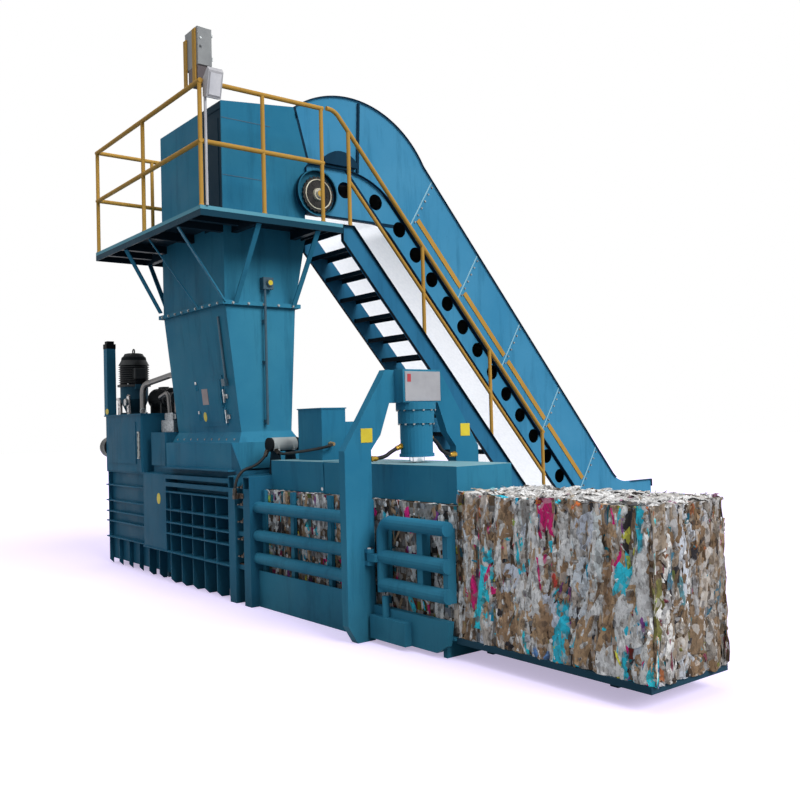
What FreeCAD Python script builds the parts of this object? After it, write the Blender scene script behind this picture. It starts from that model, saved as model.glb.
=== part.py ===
import FreeCAD, Part
import math
import os

V = FreeCAD.Vector
os.makedirs("parts", exist_ok=True)

# ---------------------------------------------------------------------------
# Driving sizes, in millimetres.  +X is the way the bale leaves the press, +Z is
# up, and the origin is on the floor, under the hopper, on the press centre line.
# ---------------------------------------------------------------------------

# press channel
floor_z = 150            # top of the channel floor
floor_plate = 20
ceiling_z = 1030         # underside of the channel roof
roof_plate = 25
channel_half = 350       # half the width between the side walls
wall_plate = 20
wall_top = 1200
wall_foot = 60           # the wall plates stop short of the floor, the fins don't
slide_gap = 10           # between the channel walls and what slides in them

# stiffening ribs of the press and the rear frame
rib_levels = (330, 520, 635, 765, 950)
band_levels = (1040, 1120)  # plain bands above the ribbed cells
rib_plate = 14
rib_depth = 140
fin_setback = 15
fin_pitch = 260
fin_first = -450
fin_count = 6
foot_chamfer = 45

# stations along the machine
rear_x = -2400
chamber_x = -1150        # rear end of the press chamber
panel_x = -560           # where the plain side panel ends
chamber_end_x = 880
tie_column = 120         # tying frame column, along the machine
tie_slot = 160           # wire slot between two columns
portal_rear_x = 2925
portal_front_x = 3000
door_end_x = 3855
platen_end_x = 3790
tray_end_x = 5400

# rear frame and oil tank
rear_half = 360
rear_rib_depth = 60
rear_top_z = 1120
end_plate = 20
tank_top_z = 1760
tank_front_x = -1290
tank_lid = 15
riser_top = 2580

# main cylinder and ram
barrel_r = 130
bore_r = 100
rod_r = 70
barrel_front_x = -830
gland_length = 40
cap_length = 25
piston_length = 80
piston_gap = 10
ram_length = 400
ram_front_x = -700
ram_skin = 25
ram_face = 40
ram_lift = 5
ram_top_z = 1000
tail_length = 950
tail_plate = 15
tail_inset = 20
run_gap = 0.3

# hopper
hopper_half_x = 705
mouth_x0 = -600
mouth_x1 = 620
mouth_y0 = -258
mouth_y1 = 273
throat_x0 = -670
throat_x1 = 800
throat_half = 430
throat_skin = 12
throat_top = 1450
collar_out = 55
collar_h = 100
shaft_foot = (-270, 285)     # near and far edge of the shaft at its foot
shaft_waist = (-415, 360)
shaft_head = (-415, 500)
waist_z = 2800
band_out = 40
deck_z = 3540
shaft_top = 3500
sheet = 6

# feed box and conveyor
box_top = 4710
box_peak = (390, 4800)
seam_low = (500, 4200)
seam_high = (542, 4250)
head_floor = 3720
slope_deg = 49.0
slope_y = 1900               # a point on the upper edge of the conveyor beam
slope_z = 3900
beam_low = 450               # below the datum line, square to the slope
beam_high = 180              # the beam's upper edge lies this far below it too
beam_web = 8
beam_lip = 45
board_depth = 485
arch_top = (970, 5020)
arch_end_s = -310
tail_y = 6000
tail_beam_top = 255
tail_beam_foot = 20
tail_board_top = 740
board_lip = 32
crown_r = 900
throat_r = 300
belt_r = 400
head_y = 620
head_z = 3930
head_wheel = 170             # to the middle of the belt
tail_wheel_y = 5850
tail_wheel_z = 130
tail_wheel = 85
belt_plate = 12
belt_half = 650
belt_up = 60
belt_down = 400
cleat_pitch = 331
cleat_h = 45
beam_hole = 85
hole_pitch = 340
hole_first_s = 21
hole_count = 13
head_holes = ((993, 4040), (1393, 3965))
joint_pitch = 1020           # between the seams of the side boards
joint_first_s = -110
strip_length = 930
strip_start = 200            # the kick strip starts this far below a seam
shaft_r = 40
fit_gap = 0.05
pipe_flats = 12              # flats round a bent pipe or hose
bend_chords = 4              # short straight runs in one of its bends

# platform, stairs and railings
deck_x0 = -1360
deck_x1 = 1230
deck_y0 = -900
deck_y1 = 450
landing_y = 600
fascia_h = 90
deck_plate = 10
rail_r = 21
post_r = 19
rail_inset = 25
rail_top = 4640
rail_mid = deck_z + 0.518 * (rail_top - deck_z)
stair_x0 = 490
stair_x1 = 1230
stair_rise = 206
stair_slope = 1.17           # rise over going
stringer_web = 8
stringer_lip = 40
stringer_drop = 320
tread_depth = 210
tread_lip = 45
tread_plate = 6

# forward cage, squeeze doors, top platen
pipe_r = 50
pipe_y = channel_half + 80
pipe_levels = (880, 630, 430)
bar_depth = 28
bar_gap = 2
skirt_top = 320
skirt_plate = 12
roof_half = 280
roof_top = 1290
roof_end_x = 2060
pivot_x = 2105
pivot_z = 1065
pivot_r = 15
platen_x = 2145
cheek = 12
door_pivot_x = 3035
door_pivot_y = 475
knuckle_r = 30
knuckle_pin = 15
knuckle_z = (560, 680)
lug_plate = 30

# portal and tension cylinder
post_out = 660
post_in = 420
post_shoulder = 1400
head_half = 190
head_base = 1750
head_top = 2000
head_front = 3110
tension_x = 3020
tension_r = 125
tension_bore = 85
tension_rod = 60
hose_r = 15
drive_hose_r = 13
wire_y = 545                 # how far out the drain hose hangs before the tying frame
tension_nose = 15            # radius of the rod's end
nose_length = 10
tension_foot = 1335
tension_cap = 140

# bale and tray
bale_half = channel_half - 10
bale_top = 1110
bale_start = 3860
bale_end = 5414
bale_rear = 700
tray_plate = 10
tray_depth = 40


# ---------------------------------------------------------------------------
# Shop tools: plates, bars, tubes and bent paths
# ---------------------------------------------------------------------------

def block(x0, x1, y0, y1, z0, z1):
    """A flat plate or bar between two corners."""
    return Part.makeBox(x1 - x0, y1 - y0, z1 - z0, V(x0, y0, z0))


def rod(start, end, radius):
    """A round bar from one point to another."""
    a = V(*start)
    run = V(*end) - a
    return Part.makeCylinder(radius, run.Length, a, run)


def polygon(corners):
    return Part.Face(Part.makePolygon(corners + corners[:1]))


def skinned(rings):
    """A solid with flat faces through a row of outlines that have the same count of corners."""
    faces = [polygon(rings[0]), polygon(rings[-1])]
    for low, high in zip(rings, rings[1:]):
        faces += [polygon([low[n - 1], low[n], high[n], high[n - 1]]) for n in range(len(low))]
    solid = Part.Solid(Part.makeShell(faces))
    if solid.Volume < 0:
        solid.reverse()
    return solid


def flats_round(centre, way, radius, flats):
    """Corners of an even polygon drawn round a circle, one flat upwards or towards the front."""
    side = V(0, 0, 1) if abs(way.z) < 0.9 else V(1, 0, 0)
    side = (side - way * side.dot(way)).normalize()
    up = way.cross(side)
    reach = radius / math.cos(math.pi / flats)
    turns = [2 * math.pi * (k + 0.5) / flats for k in range(flats)]
    return [centre + side * (reach * math.cos(t)) + up * (reach * math.sin(t)) for t in turns]


def tapered(start, end, start_r, end_r, flats):
    """A cone drawn with flats."""
    a = V(*start)
    b = V(*end)
    way = (b - a).normalize()
    return skinned([flats_round(a, way, start_r, flats), flats_round(b, way, end_r, flats)])


def faceted(start, end, radius, flats):
    """A round bar drawn with flats, for what nothing turns or slides on."""
    return tapered(start, end, radius, radius, flats)


def bar(start, end, wide, deep):
    """A flat bar between two points, its wide side level."""
    a = V(*start)
    run = V(*end) - a
    side = run.cross(V(0, 0, 1)).normalize() * (wide / 2)
    face_up = run.cross(side).normalize() * (deep / 2)
    corners = [a + side + face_up, a - side + face_up, a - side - face_up, a + side - face_up]
    return Part.Face(Part.makePolygon(corners + corners[:1])).extrude(run)


def outline(points, plane):
    """The face of a cut plate: points are the two coordinates that lie in its plane."""
    place = {
        "xy": lambda p: V(p[0], p[1], 0),
        "xz": lambda p: V(p[0], 0, p[1]),
        "yz": lambda p: V(0, p[0], p[1]),
    }[plane]
    corners = [place(p) for p in points]
    return Part.Face(Part.makePolygon(corners + corners[:1]))


def plate_yz(points, x0, x1):
    """A plate that faces along the machine, from its outline in Y and Z."""
    face = outline(points, "yz")
    face.translate(V(x0, 0, 0))
    return face.extrude(V(x1 - x0, 0, 0))


def plate_xz(points, y0, y1):
    """A plate that faces the side of the machine, from its outline in X and Z."""
    face = outline(points, "xz")
    face.translate(V(0, y0, 0))
    return face.extrude(V(0, y1 - y0, 0))


def plate_xy(points, z0, z1):
    """A level plate, from its outline in X and Y."""
    face = outline(points, "xy")
    face.translate(V(0, 0, z0))
    return face.extrude(V(0, 0, z1 - z0))


def bend(before, here, after, radius):
    """Where a bend of this radius leaves one straight run and joins the next."""
    into = (here - before).normalize()
    away = (after - here).normalize()
    half = into.getAngle(away) / 2
    reach = radius * math.tan(half)
    inward = (away - into).normalize()
    crown = here + inward * radius * (1 / math.cos(half) - 1)
    return here - into * reach, crown, here + away * reach


def bent(points, radii, closed=False):
    """A wire of straight runs joined by tangent arcs, one radius for each bend."""
    dots = [V(*p) for p in points]
    count = len(dots)
    bends = range(count) if closed else range(1, count - 1)
    arcs = {
        k: bend(dots[k - 1], dots[k], dots[(k + 1) % count], radius)
        for k, radius in zip(bends, radii) if radius > 0
    }
    edges = []
    for k in range(count if closed else count - 1):
        after = (k + 1) % count
        if k in arcs:
            edges.append(Part.Arc(*arcs[k]).toShape())
        start = arcs[k][2] if k in arcs else dots[k]
        end = arcs[after][0] if after in arcs else dots[after]
        if (end - start).Length > 0.01:
            edges.append(Part.LineSegment(start, end).toShape())
    return Part.Wire(edges)


def route(points, bends):
    """The middle line of a bent pipe: straight runs, and each bend in a few short chords."""
    dots = [V(*p) for p in points]
    line = [dots[0]]
    for before, here, after, radius in zip(dots, dots[1:], dots[2:], bends):
        start, crown, end = bend(before, here, after, radius)
        line += Part.Arc(start, crown, end).toShape().discretize(Number=bend_chords + 1)
    return line + [dots[-1]]


def hose(points, radius, bends, flats=8):
    """A hose or bent pipe, drawn with flats, mitred where its middle line turns."""
    line = route(points, bends)
    ways = [(b - a).normalize() for a, b in zip(line, line[1:])]
    rings = [flats_round(line[0], ways[0], radius, flats)]
    for k, way in enumerate(ways):
        mitre = way + ways[min(k + 1, len(ways) - 1)]
        rings.append([p + way * ((line[k + 1] - p).dot(mitre) / way.dot(mitre)) for p in rings[-1]])
    return skinned(rings)


def joined(pieces):
    """Pieces welded into one."""
    whole = pieces[0].fuse(pieces[1:])
    return whole.removeSplitter()


def mirrored(shape):
    """The same piece on the far side of the press centre line."""
    return shape.mirror(V(0, 0, 0), V(0, 1, 0))


def both(shape):
    return [shape, mirrored(shape)]


def save(name, *solids):
    """Write one piece, or one set of like pieces, as a STEP file."""
    shape = solids[0] if len(solids) == 1 else Part.makeCompound(list(solids))
    shape.exportStep("parts/" + name + ".step")


# ---------------------------------------------------------------------------
# Press chamber and rear frame: plate walls in a grid of welded ribs
# ---------------------------------------------------------------------------

wall_out = channel_half + wall_plate
rib_out = wall_out + rib_depth
fin_out = rib_out - fin_setback
tie_x0 = chamber_end_x
tie_x1 = tie_x0 + tie_column
tie_x2 = tie_x1 + tie_slot
cage_x = tie_x2 + tie_column
cylinder_z = (floor_z + ceiling_z) / 2


def along_x(x0, x1, radius):
    """A round bar on the main cylinder's axis."""
    return rod((x0, 0, cylinder_z), (x1, 0, cylinder_z), radius)


def fin(x, inner, outer, top):
    """An upright stiffener whose toe is cut back at the floor."""
    toe = outer - foot_chamfer
    points = [(inner, 0), (toe, 0), (outer, foot_chamfer), (outer, top), (inner, top)]
    return plate_yz(points, x - rib_plate / 2, x + rib_plate / 2)


def press_chamber():
    side = [block(chamber_x, chamber_end_x, channel_half, wall_out, wall_foot, wall_top)]
    flange_z = rib_levels[0]
    side.append(block(chamber_x, chamber_end_x, wall_out, rib_out, flange_z - rib_plate, flange_z))
    for level in rib_levels[1:]:
        side.append(block(panel_x, chamber_end_x, wall_out, rib_out, level - rib_plate, level))
    side.append(block(throat_x0, chamber_end_x, wall_out, rib_out, wall_top - rib_plate, wall_top))
    for level in band_levels:
        side.append(block(throat_x0, chamber_end_x, wall_out, fin_out, level - 3 * rib_plate, level))
    for k in range(fin_count):
        side.append(fin(fin_first + k * fin_pitch, wall_out, fin_out, rib_levels[-1] - rib_plate))
    panel_top = band_levels[-1]
    side.append(block(chamber_x, panel_x, fin_out - rib_plate, fin_out, flange_z, panel_top))
    for x in (chamber_x, panel_x - rib_plate):
        side.append(block(x, x + rib_plate, wall_out, fin_out, flange_z, panel_top))
    side.append(block(chamber_x, panel_x, wall_out, fin_out, panel_top - rib_plate, panel_top))
    for x in (chamber_x + rib_plate, (chamber_x + panel_x) / 2, panel_x):
        side.append(fin(x, wall_out, fin_out - foot_chamfer, flange_z - rib_plate))
    near = joined(side)
    roof = block(chamber_x, chamber_end_x, -channel_half, channel_half, ceiling_z, ceiling_z + roof_plate)
    mouth = block(mouth_x0, mouth_x1, mouth_y0, mouth_y1, ceiling_z - 1, ceiling_z + roof_plate + 1)
    channel_floor = block(
        chamber_x, chamber_end_x, -channel_half, channel_half, floor_z - floor_plate, floor_z)
    top = wall_top - rib_plate
    cover = block(chamber_x, throat_x0, -channel_half, channel_half, top, wall_top)
    web_z = ceiling_z + roof_plate
    webs = [
        block(x, x + rib_plate, -channel_half, channel_half, web_z, top)
        for x in (chamber_x, throat_x0 - rib_plate, chamber_end_x - rib_plate)
    ]
    sleepers = [block(x - 60, x + 60, -channel_half, channel_half, 0, floor_z - floor_plate)
                for x in (-900, 0, 700)]
    half = channel_half - slide_gap
    blade = block(mouth_x1, mouth_x1 + 60, -half, half, ram_top_z + 1, ceiling_z)
    fixed = [roof.cut(mouth), channel_floor, cover, blade]
    return joined([near, mirrored(near)] + fixed + webs + sleepers)


def rear_frame():
    inner = rear_half
    outer = inner + wall_plate
    rim = outer + rear_rib_depth
    top = rear_top_z - floor_plate
    side = [block(rear_x, chamber_x, inner, outer, wall_foot, top)]
    for level in rib_levels:
        side.append(block(rear_x, chamber_x, outer, rim, level - rib_plate, level))
    flange_z = rib_levels[0] - rib_plate
    reach = chamber_x - rear_x
    for k in range(5):
        x = rear_x + rib_plate + k * (reach - 2 * rib_plate) / 4
        side.append(fin(x, outer, rim - rib_plate, flange_z))
    for x in (rear_x, chamber_x - rib_plate):
        side.append(block(x, x + rib_plate, outer, rim - rib_plate, flange_z, top))
    near = joined(side)
    roof = block(rear_x, chamber_x, -rim, rim, top, rear_top_z)
    base = block(rear_x, chamber_x, -inner, inner, floor_z - floor_plate, floor_z)
    end = block(rear_x, rear_x + end_plate, -inner, inner, wall_foot, top)
    tail_ribs = [block(rear_x - 40, rear_x, -rim, rim, z - rib_plate, z) for z in rib_levels]
    tail_ribs.append(block(rear_x - 40, rear_x, -outer, outer, floor_z - floor_plate, rib_levels[1]))
    saddle = block(chamber_x - 60, chamber_x, -barrel_r, barrel_r, floor_z, cylinder_z)
    seat = along_x(chamber_x - 61, chamber_x + 1, barrel_r + fit_gap)
    return joined([near, mirrored(near), roof, base, end, saddle.cut(seat)] + tail_ribs)


save("press_chamber", press_chamber())
save("rear_frame", rear_frame())


# ---------------------------------------------------------------------------
# Main cylinder, its rod, and the pressing ram
# ---------------------------------------------------------------------------

barrel_rear_x = rear_x + end_plate


def main_barrel():
    body = along_x(barrel_rear_x, barrel_front_x, barrel_r)
    bore = along_x(barrel_rear_x + cap_length, barrel_front_x - gland_length, bore_r)
    gland = along_x(barrel_front_x - gland_length - 1, barrel_front_x + 1, rod_r + fit_gap)
    flange = along_x(barrel_rear_x, barrel_rear_x + cap_length, barrel_r + gland_length)
    return body.fuse(flange).cut(bore).cut(gland).removeSplitter()


def main_rod():
    piston_x = barrel_rear_x + cap_length + piston_gap
    seat_x = ram_front_x - ram_face
    shank = along_x(piston_x, seat_x, rod_r)
    piston = along_x(piston_x, piston_x + piston_length, bore_r - run_gap)
    flange = along_x(seat_x - ram_skin, seat_x, rod_r + gland_length)
    return joined([shank, piston, flange])


def ram():
    half = channel_half - slide_gap
    rear = ram_front_x - ram_length
    foot = floor_z + ram_lift
    body = block(rear, ram_front_x, -half, half, foot, ram_top_z)
    hollow = block(rear - 1, ram_front_x - ram_face, ram_skin - half, half - ram_skin,
                   foot + ram_skin, ram_top_z - ram_skin)
    tail_half = half - tail_inset
    tail = block(rear - tail_length, rear, -tail_half, tail_half, ram_top_z - tail_plate, ram_top_z)
    keels = [
        block(rear - tail_length, rear, y - tail_plate / 2, y + tail_plate / 2,
              ram_top_z - 4 * tail_plate, ram_top_z - tail_plate)
        for y in (-tail_half / 2 - barrel_r / 2, tail_half / 2 + barrel_r / 2)
    ]
    return joined([body.cut(hollow), tail] + keels)


save("main_barrel", main_barrel())
save("main_rod", main_rod())
save("press_ram", ram())


# ---------------------------------------------------------------------------
# Tying frame: two box columns each side, with the wire slot between them
# ---------------------------------------------------------------------------

def box_section(x0, x1, y0, y1, z0, z1, skin, way):
    """A square hollow section; way is the axis that it is open along."""
    inner = [x0 + skin, x1 - skin, y0 + skin, y1 - skin, z0 + skin, z1 - skin]
    k = "xyz".index(way) * 2
    inner[k] -= skin + 1
    inner[k + 1] += skin + 1
    return block(x0, x1, y0, y1, z0, z1).cut(block(*inner))


tie_top = ceiling_z + tie_column


def tying_frame():
    skin = 10
    y0 = channel_half + 10
    pieces = []
    for x in (tie_x0, tie_x2):
        column = box_section(x, x + tie_column, y0, rib_out, 0, ceiling_z, skin, "z")
        pieces += both(column)
        pieces.append(box_section(x, x + tie_column, -rib_out, rib_out, ceiling_z,
                                  ceiling_z + tie_column, skin, "y"))
    for level in (rib_levels[0], pipe_levels[1], pipe_levels[0]):
        rung = block(tie_x1, tie_x2, y0 + 40, rib_out - 30, level - 20, level + 20)
        pieces += both(rung)
    sill = block(tie_x0, cage_x, -channel_half, channel_half, floor_z - floor_plate, floor_z)
    ties = [block(x, x + tie_column, -y0, y0, 0, floor_z - floor_plate) for x in (tie_x0, tie_x2)]
    points = [(throat_x1, wall_top), (throat_x1, throat_top), (tie_x1, tie_top + 40), (tie_x1, tie_top),
              (tie_x0, tie_top), (tie_x0, wall_top)]
    gusset = plate_xz(points, -throat_half, -throat_half + throat_skin)
    return joined(pieces + [sill] + ties + both(gusset))


save("tying_frame", tying_frame())

drive_x = (tie_x1 + tie_x2) / 2
drive_z = 1425
drive_r = 65
drive_y = (-180, 100)


def tier_drive():
    """Wire-tying drive: a capped tube on two saddle plates across the wire slot."""
    pieces = [faceted((drive_x, drive_y[0] - 15, drive_z), (drive_x, drive_y[1] + 15, drive_z), drive_r, 24)]
    span = tie_slot / 2 + 30
    points = [(drive_x - span, tie_top), (drive_x + span, tie_top),
              (drive_x + drive_r, drive_z), (drive_x - drive_r, drive_z)]
    for y in (drive_y[0] + 60, drive_y[1] - 60):
        pieces.append(plate_xz(points, y - 8, y + 8))
    return joined(pieces)


drive = tier_drive()
save("tier_drive", drive)


# ---------------------------------------------------------------------------
# Forward cage: floor, skirts, and three round side rails on upright bars
# ---------------------------------------------------------------------------

bar_in = channel_half + bar_gap
bar_out = bar_in + bar_depth


def forward_base():
    x1 = platen_end_x + 50
    plate = block(cage_x, x1, -bar_out, bar_out, floor_z - floor_plate, floor_z)
    pieces = [plate]
    for y in (-pipe_y, pipe_y - skirt_plate):
        pieces.append(block(cage_x, portal_rear_x, y, y + skirt_plate, 0, skirt_top))
    for sign in (-1, 1):
        y = sorted((sign * bar_out, sign * pipe_y))
        pieces.append(block(cage_x, portal_rear_x, y[0], y[1], floor_z - floor_plate, floor_z))
    low = 35
    points = [(portal_front_x, low), (x1 - 130, low), (x1 - 30, low + 60), (x1, skirt_top - 60),
              (portal_front_x, skirt_top - 60)]
    apron = plate_xz(points, -pipe_y, -bar_out)
    box_top = 200
    box = block(portal_front_x + 30, portal_front_x + 440, -pipe_y - 60, -pipe_y, low, box_top)
    stop_x = door_pivot_x + 140
    stop_top = pipe_levels[-1] - pipe_r - 30
    stop = faceted((stop_x, -pipe_y - 20, box_top), (stop_x, -pipe_y - 20, stop_top), 26, 12)
    pieces += both(joined([apron, box, stop]))
    for x in (cage_x + 40, (cage_x + portal_rear_x) / 2, portal_rear_x - 60, x1 - 120):
        pieces.append(block(x, x + 40, -bar_out, bar_out, 0, floor_z - floor_plate))
    return joined(pieces)


def cage_side():
    rails = []
    for level in pipe_levels:
        rails.append(faceted((cage_x, -pipe_y, level), (portal_rear_x, -pipe_y, level), pipe_r, 16))
    for x in (cage_x, cage_x + 485, cage_x + 1055, portal_rear_x - 50):
        rails.append(block(x, x + 50, -bar_out - 5, -bar_in, floor_z, ceiling_z - bar_gap))
    return joined(rails)


cage_near = cage_side()
save("forward_base", forward_base())
save("cage_near", cage_near)
save("cage_far", mirrored(cage_near))


# ---------------------------------------------------------------------------
# Portal frame and the upright tension cylinder
# ---------------------------------------------------------------------------

def portal():
    half = [(0, head_top), (head_half + 80, head_top), (post_out, post_shoulder),
            (post_out, 130), (post_out - 80, 0), (post_in, 0), (post_in, post_shoulder),
            (post_in - 90, post_shoulder + 110), (head_half + 50, head_base), (0, head_base)]
    near = plate_yz([(-y, z) for y, z in half], portal_rear_x, portal_front_x)
    head = block(portal_front_x, head_front, -head_half, head_half, head_base, head_top)
    lugs = []
    for z in (knuckle_z[0], knuckle_z[1] - lug_plate):
        tongue = block(portal_front_x, door_pivot_x, -door_pivot_y - knuckle_r,
                       -door_pivot_y + knuckle_r, z, z + lug_plate)
        eye = faceted((door_pivot_x, -door_pivot_y, z), (door_pivot_x, -door_pivot_y, z + lug_plate), knuckle_r, 12)
        hole = rod((door_pivot_x, -door_pivot_y, z - 1), (door_pivot_x, -door_pivot_y, z + lug_plate + 1),
                   knuckle_pin)
        lugs += both(tongue.fuse(eye).cut(hole))
    return joined([near, mirrored(near), head] + lugs)


def upright(z0, z1, radius):
    return rod((tension_x, 0, z0), (tension_x, 0, z1), radius)


def upright_flats(z0, z1, radius):
    return faceted((tension_x, 0, z0), (tension_x, 0, z1), radius, 28)


def tension_barrel():
    body = upright_flats(tension_foot, head_base, tension_r)
    cap = upright_flats(1590, 1695, tension_cap)
    collar = upright_flats(1695, head_base, tension_cap + 14)
    foot = upright_flats(tension_foot, tension_foot + 25, tension_r + 10)
    bore = upright(tension_foot + gland_length, 1620, tension_bore)
    gland = upright(tension_foot - 1, tension_foot + gland_length + 1, tension_rod + fit_gap)
    return joined([body, cap, collar, foot]).cut(bore).cut(gland)


def tension_rod_piece():
    """Rod, piston and the blunt nose that bears on the platen."""
    nose_z = roof_top + 0.5
    nose = upright(nose_z, nose_z + nose_length, tension_nose)
    shank = upright(nose_z + nose_length, tension_foot + gland_length + 40, tension_rod)
    piston = upright(tension_foot + gland_length + 10, tension_foot + gland_length + 50,
                     tension_bore - run_gap)
    return joined([shank, piston, nose])


save("portal_frame", portal())
save("tension_barrel", tension_barrel())
save("tension_rod", tension_rod_piece())


def tension_hose(side):
    """A hose from the barrel's port down to the inner face of the portal post."""
    x = tension_x - 30
    y0 = side * (tension_r - 15)
    z0 = tension_foot + 160 if side > 0 else tension_foot + 85
    y1 = side * (tension_r + 90)
    z1 = roof_top + 45
    points = [(x, y0, z0), (x, y1, z0 - 30), (x, side * (tension_r + 170), z1), (x, side * post_in, z1)]
    return hose(points, hose_r, [60, 60]).cut(barrel)


barrel = tension_barrel()


# ---------------------------------------------------------------------------
# Channel roof ahead of the tying frame, and the hinged top platen
# ---------------------------------------------------------------------------

def roof_beam():
    body = block(cage_x, roof_end_x, -roof_half, roof_half, ceiling_z, roof_top)
    lean = 18
    points = [(roof_end_x, ceiling_z), (platen_x - 5, ceiling_z), (platen_x - 5, pivot_z),
              (platen_x - 5 - lean, roof_top), (roof_end_x, roof_top)]
    sides = [plate_xz(points, y, y + cheek) for y in (-roof_half, roof_half - cheek)]
    hole = rod((pivot_x, -roof_half - 1, pivot_z), (pivot_x, roof_half + 1, pivot_z), pivot_r)
    return joined([body] + sides).cut(hole)


def top_platen():
    body = block(platen_x, platen_end_x, -roof_half, roof_half, ceiling_z, roof_top)
    half = roof_half - cheek - 3
    tongue = block(roof_end_x + 20, platen_x, -half, half, ceiling_z + 10, roof_top - 10)
    hole = rod((pivot_x, -half - 1, pivot_z), (pivot_x, half + 1, pivot_z), pivot_r + fit_gap)
    corner = plate_xy([(platen_end_x + 1, roof_half + 1), (platen_end_x - 170, roof_half + 1),
                       (platen_end_x + 1, roof_half - 35)], ceiling_z - 1, roof_top + 1)
    pad = upright_flats(roof_top - 0.5, roof_top, tension_r)
    return joined([body, tongue, pad]).cut(hole).cut(corner)


save("roof_beam", roof_beam())
save("top_platen", top_platen())
pack_x0 = 1460
pack_x1 = 1845
save("valve_box", joined([
    block(pack_x0, pack_x1, -100, 150, roof_top, 1735),
    block(pack_x0 - 8, pack_x1 + 8, -108, 158, 1735, 1745),
    block(pack_x0 + 30, pack_x1 - 5, 150, roof_half - 5, roof_top, 1620)]))


def drive_hoses():
    """Two hoses from the underside of the tying drive, to the valve box and down the slot."""
    y = drive_y[0] + 45
    start = (drive_x + 40, y, drive_z - drive_r + 12)
    box_face = pack_x1
    feed = [start, (drive_x + 110, y, 1335), (pack_x0 - 60, -150, 1350), (box_face + 60, -150, 1395),
            (box_face + 75, -20, 1428), (box_face, -20, 1428)]
    drain = [(drive_x - 20, y - 60, drive_z - drive_r + 12), (drive_x - 20, -250, 1250),
             (drive_x - 5, -wire_y, 1190), (drive_x - 5, -wire_y, 985)]
    return [hose(feed, drive_hose_r, [40, 60, 45, 45]).cut(drive), hose(drain, drive_hose_r, [40, 50]).cut(drive)]


save("tension_hoses", *[tension_hose(side) for side in (-1, 1)], *drive_hoses())


# ---------------------------------------------------------------------------
# Squeeze doors: three round rails on a hinge post, one door each side
# ---------------------------------------------------------------------------

def squeeze_door():
    """The top rail turns down into the hinge post, the others butt against it."""
    post_x = door_pivot_x + 90
    post_tube = 42
    x1 = door_end_x
    high, middle, low = pipe_levels
    y = -pipe_y
    frame = hose([(x1, y, high), (post_x, y, high), (post_x, y, low - 55)], post_tube, [90], 16)
    pieces = [frame]
    for level in pipe_levels:
        start = post_x + 90 if level == high else post_x
        pieces.append(faceted((start, y, level), (x1, y, level), pipe_r, 16))
    foot = low - 50
    for x, wide in ((post_x - 20, 40), (door_pivot_x + 485, 60), (x1 - 60, 50)):
        pieces.append(block(x, x + wide, y, -bar_in - 5, foot, high))
    clear = 2
    z0 = knuckle_z[0] + lug_plate + clear
    z1 = knuckle_z[1] - lug_plate - clear
    eye = faceted((door_pivot_x, -door_pivot_y, z0), (door_pivot_x, -door_pivot_y, z1), knuckle_r - 2, 12)
    strap = block(door_pivot_x, post_x, -door_pivot_y - knuckle_r + 2, -door_pivot_y + knuckle_r - 2, z0, z1)
    hole = rod((door_pivot_x, -door_pivot_y, z0 - 1), (door_pivot_x, -door_pivot_y, z1 + 1),
               knuckle_pin + fit_gap)
    pieces.append(eye.fuse(strap))
    return joined(pieces).cut(hole)


def door_pin():
    shank = rod((door_pivot_x, -door_pivot_y, knuckle_z[0]), (door_pivot_x, -door_pivot_y, knuckle_z[1]),
                knuckle_pin)
    head = faceted((door_pivot_x, -door_pivot_y, knuckle_z[1]),
                   (door_pivot_x, -door_pivot_y, knuckle_z[1] + 10), knuckle_pin + 7, 6)
    return shank.fuse(head).removeSplitter()


near_door = squeeze_door()
save("squeeze_door_near", near_door)
save("squeeze_door_far", mirrored(near_door))
platen_pin = rod((pivot_x, -roof_half, pivot_z), (pivot_x, roof_half, pivot_z), pivot_r)
save("pivot_pins", platen_pin, *both(door_pin()))


# ---------------------------------------------------------------------------
# Bales and the outfeed tray
# ---------------------------------------------------------------------------

def soft_block(x0, x1, half, z0, z1, ease):
    """A bale: a block whose long edges are eased where the paper bulges and crumbles."""
    points = [(-half + ease, z0), (half - ease, z0), (half, z0 + ease), (half, z1 - ease),
              (half - ease, z1), (-half + ease, z1), (-half, z1 - ease), (-half, z0 + ease)]
    return plate_yz(points, x0, x1)


channel_bale_end = bale_start - 5
save("finished_bale", soft_block(bale_start, bale_end, bale_half, floor_z, bale_top, 25))
save("channel_bale", soft_block(bale_rear, channel_bale_end, bale_half + 5, floor_z, ceiling_z - 1, 8))


def outfeed_tray():
    x0 = platen_end_x + 50
    half = bale_half + 20
    pieces = [block(x0, tray_end_x, -half, half, floor_z - tray_plate, floor_z)]
    for y in (-half, half - tray_plate):
        pieces.append(block(x0, tray_end_x, y, y + tray_plate, floor_z - tray_depth, floor_z))
    pieces.append(block(tray_end_x - tray_plate, tray_end_x, -half, half, floor_z - tray_depth, floor_z))
    for x in (x0, tray_end_x - 500):
        pieces.append(block(x, x + 60, -half / 4, half / 2, 0, floor_z - tray_plate))
    return joined(pieces)


save("outfeed_tray", outfeed_tray())


# ---------------------------------------------------------------------------
# Throat box and hopper shaft: folded sheet, drawn in towards the press
# ---------------------------------------------------------------------------

def rectangle(x0, x1, y0, y1, z):
    return [V(x0, y0, z), V(x1, y0, z), V(x1, y1, z), V(x0, y1, z)]


def funnel(sections, grow):
    """A four-sided duct through level sections of (half length, near, far, height)."""
    return skinned([rectangle(-s[0] - grow, s[0] + grow, s[1] - grow, s[2] + grow, s[3]) for s in sections])


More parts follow.
